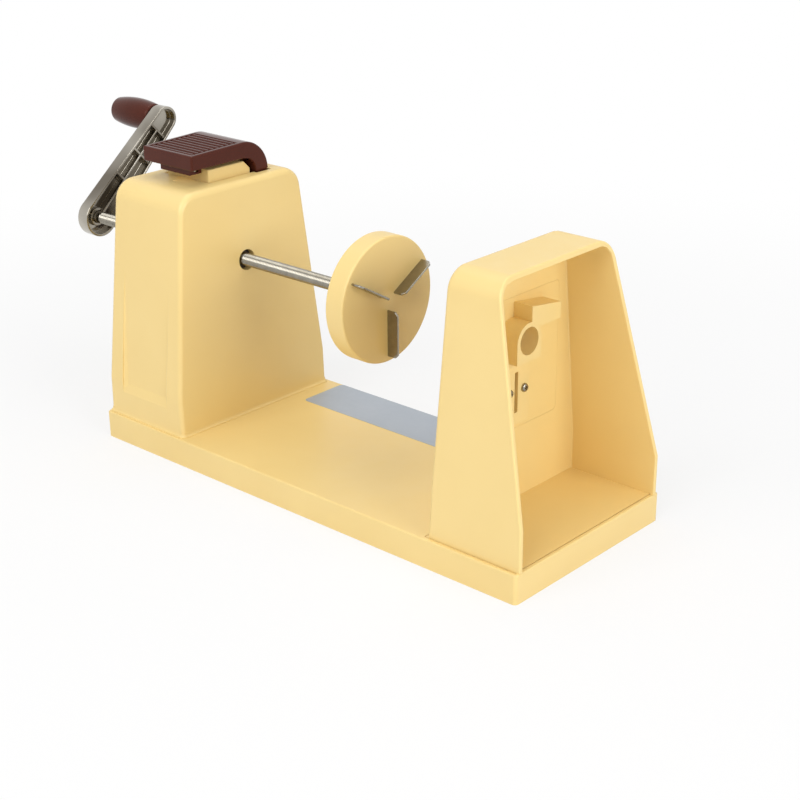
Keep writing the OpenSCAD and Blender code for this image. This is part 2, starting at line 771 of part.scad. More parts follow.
module nut_guide() color(cream) difference() {
    x0 = lever_x - guide_in_l / 2;
    x1 = lever_x + guide_in_l / 2;
    y1 = guide_in_w / 2;
    w = guide_wall;
    box(x0 - w, x1 + w, -y1 - w, y1 + w, base_h, guide_top_z);
    box(x0, x1, -y1, y1, seat_z, guide_top_z + over);
    difference() {
        box(x0, x1, -y1, y1, base_h - over, seat_z - seat_t);
        for (p = guide_screw_spots) translate([p[0], p[1], base_h - 2 * over])
            cylinder(d = pillar_d, h = seat_z);
    }
    for (p = guide_screw_spots) translate([p[0], p[1], base_h - over])
        cylinder(d = screw_d + 2 * fit, h = pillar_hole + over);
}

module nut_guide_screws() color(steel) {
    for (p = guide_screw_spots) translate([p[0], p[1], screw_seat_z])
        screw(screw_d, base_h - screw_seat_z + pillar_hole - tip_gap, screw_head_d, screw_head_h);
}

// The middle of the spring's wire, ring by ring
function wire_centre(i) = [
    lever_x + spring_r * cos(360 * i / spring_steps),
    spring_r * sin(360 * i / spring_steps),
    spring_z0 + spring_rise * i
];
function wire_point(i, k) =
    let (turn = 360 * i / spring_steps, around = 360 * k / spring_sides)
    let (out = [cos(turn), sin(turn), 0])
    let (up = [sin(turn) * sin(spring_climb), -cos(turn) * sin(spring_climb), cos(spring_climb)])
    wire_centre(i) + wire_d / 2 * (cos(around) * out + sin(around) * up);
spring_gap = min([
    for (i = [0:spring_rings - spring_steps], k = [-2:2], j = [i + spring_steps + k])
        if (j <= spring_rings) norm(wire_centre(j) - wire_centre(i)) - wire_d
]);
echo(spring_gap = spring_gap);

module return_spring() color(steel) {
    s = spring_sides;
    last = spring_rings * s;
    points = [for (i = [0:spring_rings], k = [0:s - 1]) wire_point(i, k)];
    sides = [
        for (i = [0:spring_rings - 1], k = [0:s - 1], half = [0, 1])
            let (a = i * s + k, b = i * s + (k + 1) % s)
            half == 0 ? [a, b, b + s] : [a, b + s, a + s]
    ];
    ends = [
        for (k = [1:s - 2], half = [0, 1])
            half == 0 ? [0, k + 1, k] : [last, last + k, last + k + 1]
    ];
    polyhedron(points, concat(sides, ends));
}

module lever_hinge_pin() color(steel) {
    rod_x(slot_x0 - cheek_t + over, slot_x1 + cheek_t - over, hinge_y, hinge_z, hinge_pin_d);
}

module release_lever() color(brown) difference() {
    x0 = lever_x - lever_w / 2;
    x1 = lever_x + lever_w / 2;
    near_top_z = pad_under_z + lever_near_t;
    pad_slope = (lever_top_z - near_top_z) / pad_reach;
    tail_z = tower_h + tail_clear;
    eye_w = top_slot_w - 2 * eye_gap;
    tail_y0 = bend_y + bend_r;
    tail_y1 = bend_y + bend_outer_r;
    skirt_y1 = link_end_y - run_gap;
    skirt_y0 = skirt_y1 - link_wall;
    lug_y1 = block_y0 - 2 * run_gap;
    lug_z0 = tower_h + lug_rise;
    lug_in = tongue_w / 2 + run_gap;
    lug_out = lug_in + lug_w;
    lug_top_z = pad_under_z + weld;
    pin_slot_r = link_d / 2 + run_gap / 2;
    tray_x0 = x0 + tray_rim;
    tray_x1 = x1 - tray_rim;
    tray_l = (ridge_n - 1) * ridge_pitch + ridge_w + 2 * ridge_gap;
    union() {
        along_x(x0, x1) {
            polygon([
                [lever_y0, pad_under_z], [lever_y0, near_top_z],
                [bend_y, lever_top_z], [bend_y, pad_under_z]
            ]);
            intersection() {
                difference() {
                    translate([bend_y, bend_z]) circle(bend_outer_r);
                    translate([bend_y, bend_z]) circle(bend_r);
                }
                translate([bend_y - weld, tail_z]) square([2 * bend_outer_r, 2 * bend_outer_r]);
            }
        }
        // Hinge eye below the tail
        along_x(lever_x - eye_w / 2, lever_x + eye_w / 2) {
            translate([hinge_y, hinge_z]) circle(hinge_eye_r);
            polygon([
                [hinge_y - hinge_eye_r + weld, hinge_z], [hinge_y + hinge_eye_r - weld, hinge_z],
                [tail_y1 - weld, tail_z + weld], [tail_y0 + weld, tail_z + weld]
            ]);
        }
        // Lugs for the link pin, joined by a skirt in front of the tongue
        for (x = [lever_x - lug_out, lever_x + lug_in])
            box(x, x + lug_w, skirt_y0, lug_y1, lug_z0, lug_top_z);
        box(lever_x - lug_out, lever_x + lug_out, skirt_y0, skirt_y1, lug_z0, lug_top_z);
    }
    // Tray in the sloping pad, with a row of ridges standing in it
    translate([0, lever_y0, near_top_z]) rotate([atan(pad_slope), 0, 0]) difference() {
        box(tray_x0, tray_x1, tray_rim, tray_rim + tray_l, -tray_depth, over);
        for (i = [0:ridge_n - 1]) translate([0, tray_rim + ridge_gap + i * ridge_pitch, 0])
            box(tray_x0 + ridge_gap, tray_x1 - ridge_gap, 0, ridge_w, -tray_depth - over, 0);
    }
    rod_x(x0, x1, hinge_y, hinge_z, hinge_pin_d + 2 * turn_fit);
    // Slots that let the link pin slide as the lever tips
    along_x(lever_x - lug_out - over, lever_x + lug_out + over) {
        for (play = [0, link_play]) translate([link_y + play, link_z]) circle(pin_slot_r);
        translate([link_y, link_z - pin_slot_r]) square([link_play, 2 * pin_slot_r]);
    }
}

module nut_carrier() color(cream) difference() {
    x1 = carrier_x0 + carrier_l;
    y1 = carrier_w / 2;
    block_top_z = pad_under_z - block_clear;
    block_low_z = tower_h - crank_wall - block_sink;
    tongue_top_z = link_z + link_d / 2 + 2 * run_gap;
    tongue_low_z = tower_h + tongue_rise;
    union() {
        box(carrier_x0, x1, -y1, y1, foot_z, block_low_z + weld);
        // Block under the lever, sloped off where the lever bends down
        along_x(lever_x - block_w / 2, lever_x + block_w / 2) polygon([
            [block_y0, block_low_z], [block_y1, block_low_z], [block_y1, block_top_z - block_slope],
            [block_y1 - block_slope, block_top_z], [block_y0, block_top_z]
        ]);
        along_x(lever_x - tongue_w / 2, lever_x + tongue_w / 2) polygon([
            [link_end_y, tongue_low_z], [block_y0 + weld, tongue_low_z],
            [block_y0 + weld, tongue_top_z], [link_end_y, tongue_top_z]
        ]);
    }
    // Window that the shaft and the half nut stand in
    box(carrier_x0 - over, x1 + over, leg_t - y1, y1 - leg_t, foot_z + foot_t, shaft_z + window_up);
    rod_x(lever_x - tongue_w, lever_x + tongue_w, link_y, link_z, link_d + 2 * fit);
    rod_y(-carrier_w, carrier_w, lever_x, nut_screw_z, small_d + 2 * fit);
    for (s = [0, 1]) mirror([0, s, 0])
        rod_y(nut_seat_y, carrier_w, lever_x, nut_screw_z, small_head_d + 2 * fit);
}

module link_pin() color(steel) {
    reach = tongue_w / 2 + run_gap + lug_w - weld;
    rod_x(lever_x - reach, lever_x + reach, link_y, link_z, link_d);
}

module half_nut() color(brass) difference() {
    y1 = carrier_w / 2 - leg_t;
    box(lever_x - nut_l / 2, lever_x + nut_l / 2, -y1, y1, foot_z + foot_t, shaft_z - weld);
    rod_x(lever_x - nut_l, lever_x + nut_l, 0, shaft_z, shaft_d + 2 * nut_clear);
    for (s = [0, 1]) mirror([0, s, 0])
        rod_y(nut_seat_y - nut_screw_l, carrier_w, lever_x, nut_screw_z, small_d + 2 * fit);
}

module half_nut_screws() color(steel) {
    for (s = [-1, 1]) {
        translate([lever_x, s * nut_seat_y, nut_screw_z]) rotate([s * 90, 0, 0])
            screw(small_d, nut_screw_l - tip_gap, small_head_d, small_head_h);
    }
}

module stop_washer() color(rubber) difference() {
    x1 = disc_x0 - hub_l - run_gap;
    rod_x(x1 - washer_t, x1, 0, shaft_z, washer_d);
    rod_x(x1 - washer_t - over, x1 + over, 0, shaft_z, shaft_d + 2 * turn_fit);
}

module feed_shaft() color(steel) difference() {
    rod_x(arm_floor_x, shaft_x1, 0, shaft_z, shaft_d);
    rod_x(arm_floor_x - over, arm_floor_x + crank_screw_l, 0, shaft_z, crank_screw_d + 2 * fit);
    translate([disc_pin_x, 0, shaft_z - hub_d]) cylinder(d = disc_pin_d + 2 * fit, h = 2 * hub_d);
}

// A fin's place on the disc: children lie along +Y from the axis
module each_fin() {
    for (i = [0:fin_n - 1]) translate([disc_x1, 0, shaft_z])
        rotate([fin_turn + i * 360 / fin_n, 0, 0]) children();
}

module holder_disc() color(cream) difference() {
    union() {
        rod_x(disc_x0, disc_x1, 0, shaft_z, disc_d);
        rod_x(disc_x0 - hub_l, disc_x0 + weld, 0, shaft_z, hub_d);
    }
    rod_x(disc_x0 - hub_l - over, shaft_x1, 0, shaft_z, shaft_d + 2 * fit);
    translate([disc_pin_x, 0, shaft_z - hub_d]) cylinder(d = disc_pin_d + 2 * fit, h = 2 * hub_d);
    each_fin() box(-fin_root, over, fin_r0 - fit, fin_r1 + fit, -fin_t / 2 - fit, fin_t / 2 + fit);
}

module disc_pin() color(steel) {
    pin_l = hub_d - 2 * weld;
    translate([disc_pin_x, 0, shaft_z - pin_l / 2]) cylinder(d = disc_pin_d, h = pin_l);
}

module disc_fins() color(steel) {
    bevel = 2;
    each_fin() translate([0, 0, -fin_t / 2]) linear_extrude(fin_t) polygon([
        [-fin_root, fin_r0], [fin_h - bevel, fin_r0], [fin_h, fin_r0 + bevel],
        [fin_h, fin_r1 - bevel], [fin_h - bevel, fin_r1], [-fin_root, fin_r1]
    ]);
}

// The arm's outline: two round ends joined by straight sides
module arm_outline(inset) {
    r1 = arm_hub_r - inset;
    r2 = arm_tip_r - inset;
    a = acos((r1 - r2) / arm_l);
    c1 = (r1 - weld / 10) * [cos(a), sin(a)];
    c2 = (r2 - weld / 10) * [cos(a), sin(a)];
    circle(r1);
    translate([arm_l, 0]) circle(r2);
    polygon([
        [c1[0], -c1[1]], [arm_l + c2[0], -c2[1]], [arm_l + c2[0], c2[1]], [c1[0], c1[1]]
    ]);
}

// An outline drawn along the arm, with the shaft at the origin
module along_arm(x0, x1) {
    translate([0, 0, shaft_z]) along_x(x0, x1) rotate(arm_angle) children();
}

module crank_arm() color(chrome) difference() {
    boss_x1 = arm_x1 - arm_boss_drop;
    rib_x1 = arm_x1 - arm_rib_drop;
    bay_x1 = arm_x0 + post_root_l + weld + tip_gap;
    first_rib = arm_l - arm_bay_l;
    union() {
        difference() {
            along_arm(arm_x0, arm_x1) arm_outline(0);
            along_arm(arm_floor_x, arm_x1 + over) arm_outline(arm_wall);
        }
        along_arm(arm_floor_x - weld, boss_x1) circle(shaft_d / 2 + arm_boss_wall);
        // Raised floor in the bay that holds the knob post
        along_arm(arm_floor_x - weld, bay_x1) intersection() {
            arm_outline(arm_wall / 2);
            translate([first_rib, -arm_hub_r]) square([arm_bay_l + arm_tip_r, 2 * arm_hub_r]);
        }
        // One rib along the channel and a row of ribs across it
        along_arm(arm_floor_x - weld, rib_x1) intersection() {
            arm_outline(arm_wall / 2);
            union() {
                translate([0, -arm_rib_t / 2]) square([first_rib + arm_rib_t, arm_rib_t]);
                for (i = [0:arm_rib_n - 1])
                    translate([first_rib - i * arm_rib_pitch, -arm_hub_r]) square([arm_rib_t, 2 * arm_hub_r]);
            }
        }
    }
    rod_x(arm_floor_x, arm_x1 + over, 0, shaft_z, shaft_d + 2 * fit);
    rod_x(arm_x0 - over, arm_x1, 0, shaft_z, crank_screw_d + 2 * fit);
    rod_x(arm_x0 - over, arm_x0 + post_root_l + weld, tip_y, tip_z, post_d + 2 * fit);
}

module crank_screw() color(chrome) {
    rod_x(arm_x0 - weld, arm_floor_x + crank_screw_l - tip_gap, 0, shaft_z, crank_screw_d);
    rod_x(arm_x0 - crank_head_h, arm_x0, 0, shaft_z, crank_head_d);
}

module knob_post() color(steel) difference() {
    end_x = knob_floor_x - run_gap;
    union() {
        rod_x(end_x, arm_x0 + post_root_l, tip_y, tip_z, post_d);
        rod_x(arm_x0 - post_shoulder_t, arm_x0, tip_y, tip_z, post_shoulder_d);
    }
    rod_x(end_x - over, end_x + knob_screw_l, tip_y, tip_z, small_d + 2 * fit);
}

module crank_knob() color(brown) difference() {
    belly = (knob_d - knob_end_d) / 2;
    // The belly is an arc through both ends
    arc_r = (knob_l * knob_l / 4 + belly * belly) / (2 * belly);
    translate([knob_x0, tip_y, tip_z]) rotate([0, 90, 0]) rotate_extrude() intersection() {
        translate([knob_d / 2 - arc_r, knob_l / 2]) circle(arc_r, $fn = 360);
        square([knob_d, knob_l]);
    }
    rod_x(knob_x0, knob_x1 + over, tip_y, tip_z, post_d + 2 * turn_fit);
    rod_x(knob_x0 - over, knob_floor_x, tip_y, tip_z, knob_recess_d);
}

module knob_screw() color(steel) {
    end_x = knob_floor_x - run_gap;
    head_h = knob_recess_l - cap_t - 2 * tip_gap;
    rod_x(end_x - weld, end_x + knob_screw_l - tip_gap, tip_y, tip_z, small_d);
    rod_x(end_x - head_h, end_x, tip_y, tip_z, knob_recess_d - 2 * tip_gap);
}

module knob_cap() color(brown) {
    rod_x(knob_x0, knob_x0 + cap_t, tip_y, tip_z, knob_recess_d - 2 * fit);
}

module blade_tower() color(cream) difference() {
    union() {
        difference() {
            intersection() {
                along_x(wall_x - over, base_l / 2 + over) tower_front(0, floor_z);
                along_y(-base_w, base_w) blade_side(floor_z);
            }
            along_x(wall_in_x, base_l) tower_front(hood_wall, base_h);
            // The ends of the side walls stand on the rim of the base
            box(floor_x1, base_l, -base_w, base_w, 0, base_h);
        }
        // Floor that fills the seat in the deck
        box(seat_x + parting_gap, floor_x1, -half_w, half_w, floor_z, base_h);
        for (p = blade_screw_spots) translate([p[0], p[1], peg_seat_z + socket_wall + run_gap])
            cylinder(d = peg_d, h = floor_z - peg_seat_z - socket_wall - run_gap + weld);
    }
    along_x(wall_x - over, wall_in_x + over)
        round_rect(window_y0, window_y1, window_z0, window_z1, flange_w);
    for (p = blade_screw_spots) translate([p[0], p[1], 0])
        cylinder(d = screw_d + 2 * fit, h = base_h - peg_cap);
    small_holes(wall_x - over, wall_in_x - wall_skin, cutter_screw_spots);
}

module blade_tower_screws() color(steel) {
    for (p = blade_screw_spots) translate([p[0], p[1], peg_seat_z])
        screw(screw_d, base_h - peg_cap - tip_gap - peg_seat_z, screw_head_d, screw_head_h);
}

// Holes for small screws along X, at places in Y and Z
module small_holes(x0, x1, places) {
    for (s = places) rod_x(x0, x1, s[0], s[1], small_d + 2 * fit);
}

// Small screws along X, with their heads at the low end
module small_screws(seat_x, l, places) {
    for (s = places) translate([seat_x, s[0], s[1]]) rotate([0, 90, 0])
        screw(small_d, l, small_head_d, small_head_h);
}

module cutter_plate() color(cream) difference() {
    p = plate_play;
    w = flange_w;
    back_x = wall_in_x + core_l;
    comb_y = comb_t / 2 + fit;
    union() {
        along_x(plate_x0, wall_x) {
            round_rect(window_y0 - w, window_y1 + w, window_z0 - w, window_z1 + w, w);
            for (s = cutter_screw_spots) translate(s) circle(ear_r);
        }
        along_x(wall_x - weld, wall_in_x)
            round_rect(window_y0 + p, window_y1 - p, window_z0 + p, window_z1 - p, w);
        // Core tube on its foot, and the hood over the blade slot
        along_x(wall_in_x - weld, back_x) {
            translate([0, shaft_z]) circle(core_outer_r);
            translate([-core_outer_r, shaft_z - core_foot]) square([2 * core_outer_r, core_foot]);
            polygon([
                [hood_y0, shaft_z + core_r], [hood_y0, shaft_z + hood_near],
                [hood_y1, shaft_z + hood_far], [hood_y1, slot_z1], [slot_y0, slot_z1]
            ]);
        }
    }
    rod_x(plate_x0 - over, back_x + over, 0, shaft_z, 2 * core_r);
    box(plate_x0 - over, back_x + over, slot_y0, slot_r, slot_z0, slot_z1);
    box(plate_x0 - over, wall_in_x + over, -comb_y, comb_y, comb_z0 - fit, comb_top_z + fit);
    small_holes(plate_x0 - over, wall_x + over, cutter_screw_spots);
    small_holes(plate_x0 - over, plate_x0 + blade_screw_l, blade_screw_places);
    small_holes(wall_in_x - clamp_screw_l, wall_in_x + over, clamp_screw_places);
}

module cutter_screws() color(steel) {
    small_screws(plate_x0, flange_t + blade_wall - wall_skin - weld, cutter_screw_spots);
}

// The main blade: flat on the plate at its back, lifted at its edge
module main_blade() color(steel) difference() {
    x1 = plate_x0;
    flat_z = edge_z + blade_bend;
    along_y(slot_y0 - blade_reach, slot_r + blade_reach) polygon([
        [x1 - blade_lift, edge_z], [x1 - blade_t, flat_z], [x1 - blade_t, edge_z + blade_h],
        [x1, edge_z + blade_h], [x1, flat_z]
    ]);
    small_holes(x1 - 2 * blade_t, x1 + over, blade_screw_places);
}

module main_blade_screws() color(steel) {
    small_screws(plate_x0 - blade_t, blade_t + blade_screw_l - weld, blade_screw_places);
}

// The comb blade: a strip on edge in the plate, with teeth toward the crank
module comb_blade() color(steel) {
    teeth = floor(comb_l / tooth_pitch);
    tooth = [[0, 0.9], [-tooth_h, 0.75], [-tooth_h, 0.6], [0, 0]];
    along_y(-comb_t / 2, comb_t / 2) polygon(concat(
        [[plate_x0, comb_z0], [wall_in_x, comb_z0], [wall_in_x, comb_top_z], [plate_x0, comb_top_z]],
        [
            for (i = [teeth - 1:-1:0], p = tooth) if (i > 0 || p != tooth[3])
                [plate_x0 + p[0], comb_z0 + (i + p[1]) * tooth_pitch]
        ]
    ));
}

module comb_clamp() color(cream) difference() {
    x1 = wall_in_x + clamp_t;
    z0 = comb_z0 - clamp_wall;
    z1 = comb_top_z - weld;
    along_x(wall_in_x, x1) round_rect(-clamp_w / 2, clamp_w / 2, z0, z1, clamp_wall);
    // Slot over the middle of the comb's back
    box(wall_in_x - over, x1 + over, -comb_t, comb_t, z0 + clamp_end, z1 - clamp_end);
    small_holes(wall_in_x - over, x1 + over, clamp_screw_places);
}

module comb_clamp_screws() color(steel) {
    for (s = clamp_screw_places) translate([wall_in_x + clamp_t, s[0], s[1]]) rotate([0, -90, 0])
        screw(small_d, clamp_t + clamp_screw_l - weld, small_head_d, small_head_h);
}

base_tray();
foot_pads();
label_sheet();
crank_tower();
crank_tower_screws();
front_bush();
rear_bush();
nut_guide();
nut_guide_screws();
return_spring();
lever_hinge_pin();
release_lever();
nut_carrier();
link_pin();
half_nut();
half_nut_screws();
stop_washer();
feed_shaft();
holder_disc();
disc_pin();
disc_fins();
crank_arm();
crank_screw();
knob_post();
crank_knob();
knob_screw();
knob_cap();
blade_tower();
blade_tower_screws();
cutter_plate();
cutter_screws();
main_blade();
main_blade_screws();
comb_blade();
comb_clamp();
comb_clamp_screws();
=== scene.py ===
"""Looks of the crank-fed turning slicer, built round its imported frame."""
import json
import math

import bmesh
import bpy
from mathutils import Matrix, Vector


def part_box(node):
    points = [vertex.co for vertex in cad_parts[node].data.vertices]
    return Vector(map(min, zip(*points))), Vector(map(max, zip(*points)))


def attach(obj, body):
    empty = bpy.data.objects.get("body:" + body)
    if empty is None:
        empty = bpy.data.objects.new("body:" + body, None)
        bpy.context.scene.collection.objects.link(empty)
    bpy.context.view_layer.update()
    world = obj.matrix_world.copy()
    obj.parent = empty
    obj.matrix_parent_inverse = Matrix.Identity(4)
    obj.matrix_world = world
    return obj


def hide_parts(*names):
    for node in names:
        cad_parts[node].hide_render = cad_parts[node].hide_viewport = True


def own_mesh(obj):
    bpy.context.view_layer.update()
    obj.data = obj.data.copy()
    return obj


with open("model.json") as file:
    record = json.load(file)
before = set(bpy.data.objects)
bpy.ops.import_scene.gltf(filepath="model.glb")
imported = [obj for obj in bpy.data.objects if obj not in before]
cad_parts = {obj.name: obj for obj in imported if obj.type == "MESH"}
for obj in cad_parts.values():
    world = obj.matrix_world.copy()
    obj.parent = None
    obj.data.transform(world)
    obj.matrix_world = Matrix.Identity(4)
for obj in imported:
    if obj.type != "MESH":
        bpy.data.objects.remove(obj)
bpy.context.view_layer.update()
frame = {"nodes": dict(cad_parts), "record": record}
scene = bpy.context.scene

# Units and limits of the mesh work
MM = 0.001
JOIN = 0.01 * MM
NEAR = 0.1 * MM
FLAT = math.radians(0.6)
BREAK = math.radians(14)
CORNER = math.radians(24)
SHARP = math.radians(38)
UPRIGHT = 0.9
SEAM_REACH = 1.4
RIDGE_TOP = 130 * MM * MM
GRIP_FACE = 20 * MM * MM
QUARTER_TURN = math.pi / 2

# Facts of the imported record
record = frame["record"]
slot_of = {row["node"]: row["material_slot"] for row in record["subparts"]}
body_of = {node: body for body, nodes in record["behaviour"]["bodies"].items() for node in nodes}
joint_of = {joint["name"]: joint for joint in record["behaviour"]["joints"]}

# Places taken from the frame
SHAFT_AT = Vector(joint_of["crank_turn"]["pos_m"])
KNOB_AT = Vector(joint_of["knob_spin"]["pos_m"])
tower_low, tower_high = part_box("crank_tower")
hood_low, hood_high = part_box("blade_tower")
base_low, base_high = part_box("base_tray")
tower_mid_x = (tower_low.x + tower_high.x) / 2
hood_mid_x = (hood_low.x + hood_high.x) / 2


# Mesh helpers

def cad_form(node):
    """A copy of a node's mesh with its flat faces joined up."""
    bm = bmesh.new()
    bm.from_mesh(frame["nodes"][node].data)
    bmesh.ops.remove_doubles(bm, verts=bm.verts, dist=JOIN)
    bmesh.ops.dissolve_limit(bm, angle_limit=FLAT, verts=bm.verts, edges=bm.edges)
    return bm


def new_object(bm, name):
    """An object with the mesh of bm."""
    bm.normal_update()
    mesh = bpy.data.meshes.new(name)
    bm.to_mesh(mesh)
    bm.free()
    piece = bpy.data.objects.new(name, mesh)
    scene.collection.objects.link(piece)
    return piece


def new_solid(bm, name):
    """An object with the mesh of bm, whose faces are turned outwards first."""
    bmesh.ops.recalc_face_normals(bm, faces=bm.faces)
    return new_object(bm, name)


def apply_modifiers(piece):
    """Turns the piece's modifiers into its mesh."""
    graph = bpy.context.evaluated_depsgraph_get()
    final = piece.evaluated_get(graph)
    mesh = bpy.data.meshes.new_from_object(final, preserve_all_data_layers=True, depsgraph=graph)
    piece.modifiers.clear()
    piece.data = mesh


def shade(piece, crisp=None):
    """Smooth shading: a corner takes the mean, by area, of the faces round it with nearly its direction.

    Faces for which crisp is true keep their own direction.
    """
    mesh = piece.data
    bm = bmesh.new()
    bm.from_mesh(mesh)
    bm.normal_update()
    limit = math.cos(SHARP)
    area = {face: face.calc_area() for face in bm.faces}
    normals = []
    for face in bm.faces:
        for loop in face.loops:
            around = [face] if crisp and crisp(face) else loop.vert.link_faces
            near = [other for other in around if other.normal.dot(face.normal) > limit]
            total = sum((area[other] * other.normal for other in near), Vector())
            normals.append(total.normalized() if total.length else face.normal.copy())
    bm.free()
    mesh.shade_smooth()
    mesh.normals_split_custom_set(normals)


def clean(piece):
    """Takes out the edges and faces of no size that rounding leaves."""
    bm = bmesh.new()
    bm.from_mesh(piece.data)
    bmesh.ops.remove_doubles(bm, verts=bm.verts, dist=JOIN)
    bmesh.ops.dissolve_degenerate(bm, edges=bm.edges, dist=JOIN)
    bm.to_mesh(piece.data)
    bm.free()


def in_plane(edge):
    return len(edge.link_faces) == 2 and edge.calc_face_angle() < FLAT


def inward(edge, normal):
    """The direction in the flat face with that normal that leads away from its edge, or None."""
    for loop in edge.link_loops:
        if loop.face.normal.dot(normal) > 1 - FLAT:
            along = (loop.link_loop_next.vert.co - loop.vert.co).normalized()
            return loop.face.normal.cross(along)
    return None


def square_up(bm, width_at):
    """Turns the seams of flat faces so that they meet the edges that are rounded at a right angle."""
    for seam in [edge for edge in bm.edges if in_plane(edge)]:
        for vert in list(seam.verts):
            rounded = [edge for edge in vert.link_edges if edge in width_at]
            normal = seam.link_faces[0].normal
            ways = [way for way in (inward(edge, normal) for edge in rounded) if way]
            if len(rounded) != 2 or len(ways) != 2:
                continue
            reach = SEAM_REACH * max(width_at[edge] for edge in rounded) * MM
            if seam.calc_length() < 2 * reach:
                continue
            seam, fresh = bmesh.utils.edge_split(seam, seam.other_vert(vert), 0.5)
            fresh.co = vert.co + reach * (ways[0] + ways[1]).normalized()


def round_edges(bm, name, width_of, segments=3):
    """An object whose corners are rounded by the width, in millimetres, that width_of gives each edge."""
    bm.normal_update()
    layer = bm.edges.layers.float.new("bevel_weight_edge")
    corners = [edge for edge in bm.edges if len(edge.link_faces) == 2 and edge.calc_face_angle() > BREAK]
    width_at = {edge: width_of(edge) for edge in corners}
    width_at = {edge: width for edge, width in width_at.items() if width}
    widest = max(width_at.values(), default=0)
    for edge, width in width_at.items():
        edge[layer] = width / widest
    square_up(bm, width_at)
    piece = new_object(bm, name)
    if widest:
        bevel = piece.modifiers.new("rounding", "BEVEL")
        bevel.limit_method = "WEIGHT"
        bevel.offset_type = "OFFSET"
        bevel.width = widest * MM
        bevel.segments = segments
        bevel.use_clamp_overlap = False
        apply_modifiers(piece)
        clean(piece)
    return piece


def paint(thing, slot):
    """Gives an object the finish of a slot alone."""
    thing.data.materials.clear()
    thing.data.materials.append(finish[slot])


def stand_for(piece, node, crisp=None):
    """Shades the piece and puts it in the place of a node, with the node's body, slot and finish."""
    shade(piece, crisp)
    paint(piece, slot_of[node])
    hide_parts(node)
    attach(piece, body_of[node])


def join_rings(bm, low, high):
    """A band of faces between two rings of vertices."""
    for i in range(len(low)):
        j = (i + 1) % len(low)
        bm.faces.new((low[i], low[j], high[j], high[i]))


def ring_faces(bm, rings, closed=True):
    """Joins rings, each to the next, and then the last to the first, or caps both if they stay open."""
    for low, high in zip(rings, rings[1:]):
        join_rings(bm, low, high)
    if closed:
        join_rings(bm, rings[-1], rings[0])
    else:
        bm.faces.new(list(reversed(rings[0])))
        bm.faces.new(rings[-1])


def circle(sides):
    """The cosine and sine at evenly spaced turns."""
    turns = [2 * math.pi * k / sides for k in range(sides)]
    return [(math.cos(turn), math.sin(turn)) for turn in turns]


def rounded_ring(bm, low, high, z, corner_r, steps, out=0):
    """Vertices at height z of a rectangle with round corners, widened by out on all sides."""
    reach = corner_r + out
    far_x, far_y = high.x - corner_r, high.y - corner_r
    near_x, near_y = low.x + corner_r, low.y + corner_r
    ring = []
    for number, (x, y) in enumerate(((far_x, far_y), (near_x, far_y), (near_x, near_y), (far_x, near_y))):
        for i in range(steps + 1):
            turn = (number + i / steps) * QUARTER_TURN
            ring.append(bm.verts.new((x + reach * math.cos(turn), y + reach * math.sin(turn), z)))
    return ring


# What an edge or a face is

def outward_x(face, mid_x):
    """True for a face across X that looks away from the middle of its piece."""
    return abs(face.normal.x) > UPRIGHT and face.normal.x * (face.calc_center_median().x - mid_x) > 0


def away_from_shaft(face, spot):
    """True for a face that looks away from the line of the shaft."""
    arm = spot - SHAFT_AT
    return face.normal.y * arm.y + face.normal.z * arm.z > 0


def middle(edge):
    return (edge.verts[0].co + edge.verts[1].co) / 2


def convex(edge):
    return edge.calc_face_angle_signed() > 0


def corner(edge):
    return edge.calc_face_angle() > CORNER


def looks_down(edge):
    return min(face.normal.z for face in edge.link_faces) < -UPRIGHT


def on_outline(edge, mid_x):
    """True for an edge between an outer end face and the outline of a tower."""
    spot = middle(edge)
    ends = [face for face in edge.link_faces if outward_x(face, mid_x)]
    rest = [face for face in edge.link_faces if abs(face.normal.x) < 1 - UPRIGHT / 2]
    return len(ends) == 1 and len(rest) == 1 and away_from_shaft(rest[0], spot)


def bore(edge):
    """True for an edge of a hollow, whose wall curves inwards."""
    bends = [
        side.calc_face_angle_signed() for face in edge.link_faces for side in face.edges
        if side is not edge and len(side.link_faces) == 2
    ]
    return any(-CORNER < bend < -FLAT for bend in bends)


def in_grip(face):
    """True for the main faces of the recesses in the crank tower's sides."""
    half_l = 24 * MM
    depth = 10 * MM
    foot = tower_low.z + 14 * MM
    head = tower_low.z + 96 * MM
    spot = face.calc_center_median()
    beside = abs(spot.x - tower_mid_x) < half_l and abs(spot.y) > tower_high.y - depth
    return beside and foot < spot.z < head and away_from_shaft(face, spot) and face.calc_area() > GRIP_FACE


# Which edges are rounded, and by how many millimetres

def outline_width(edge):
    """Narrow on the upright edges of a tower, and wider over its top."""
    upright_width = 2.6
    more_on_top = 1.6
    rise = max(face.normal.z for face in edge.link_faces)
    return upright_width + more_on_top * math.asin(min(max(rise, 0), 1)) / QUARTER_TURN


def crank_tower_width(edge):
    """The outline, the level edges at the foot of the grip recesses and the rims in the top."""
    ledge_width = 0.8
    top_width = 0.6
    end_zone = 20 * MM
    ledge_low = tower_low.z + 14 * MM
    ledge_high = tower_low.z + 24 * MM
    ledge_y = tower_high.y - 4 * MM
    spot = middle(edge)
    if looks_down(edge):
        return 0
    outer = corner(edge) and not bore(edge)
    if outer and on_outline(edge, tower_mid_x) and abs(spot.x - tower_mid_x) > end_zone:
        return outline_width(edge)
    level = abs(edge.verts[0].co.z - edge.verts[1].co.z) < JOIN
    if level and ledge_low < spot.z < ledge_high and abs(spot.y) > ledge_y:
        return ledge_width
    return top_width if outer and spot.z > tower_high.z - NEAR else 0


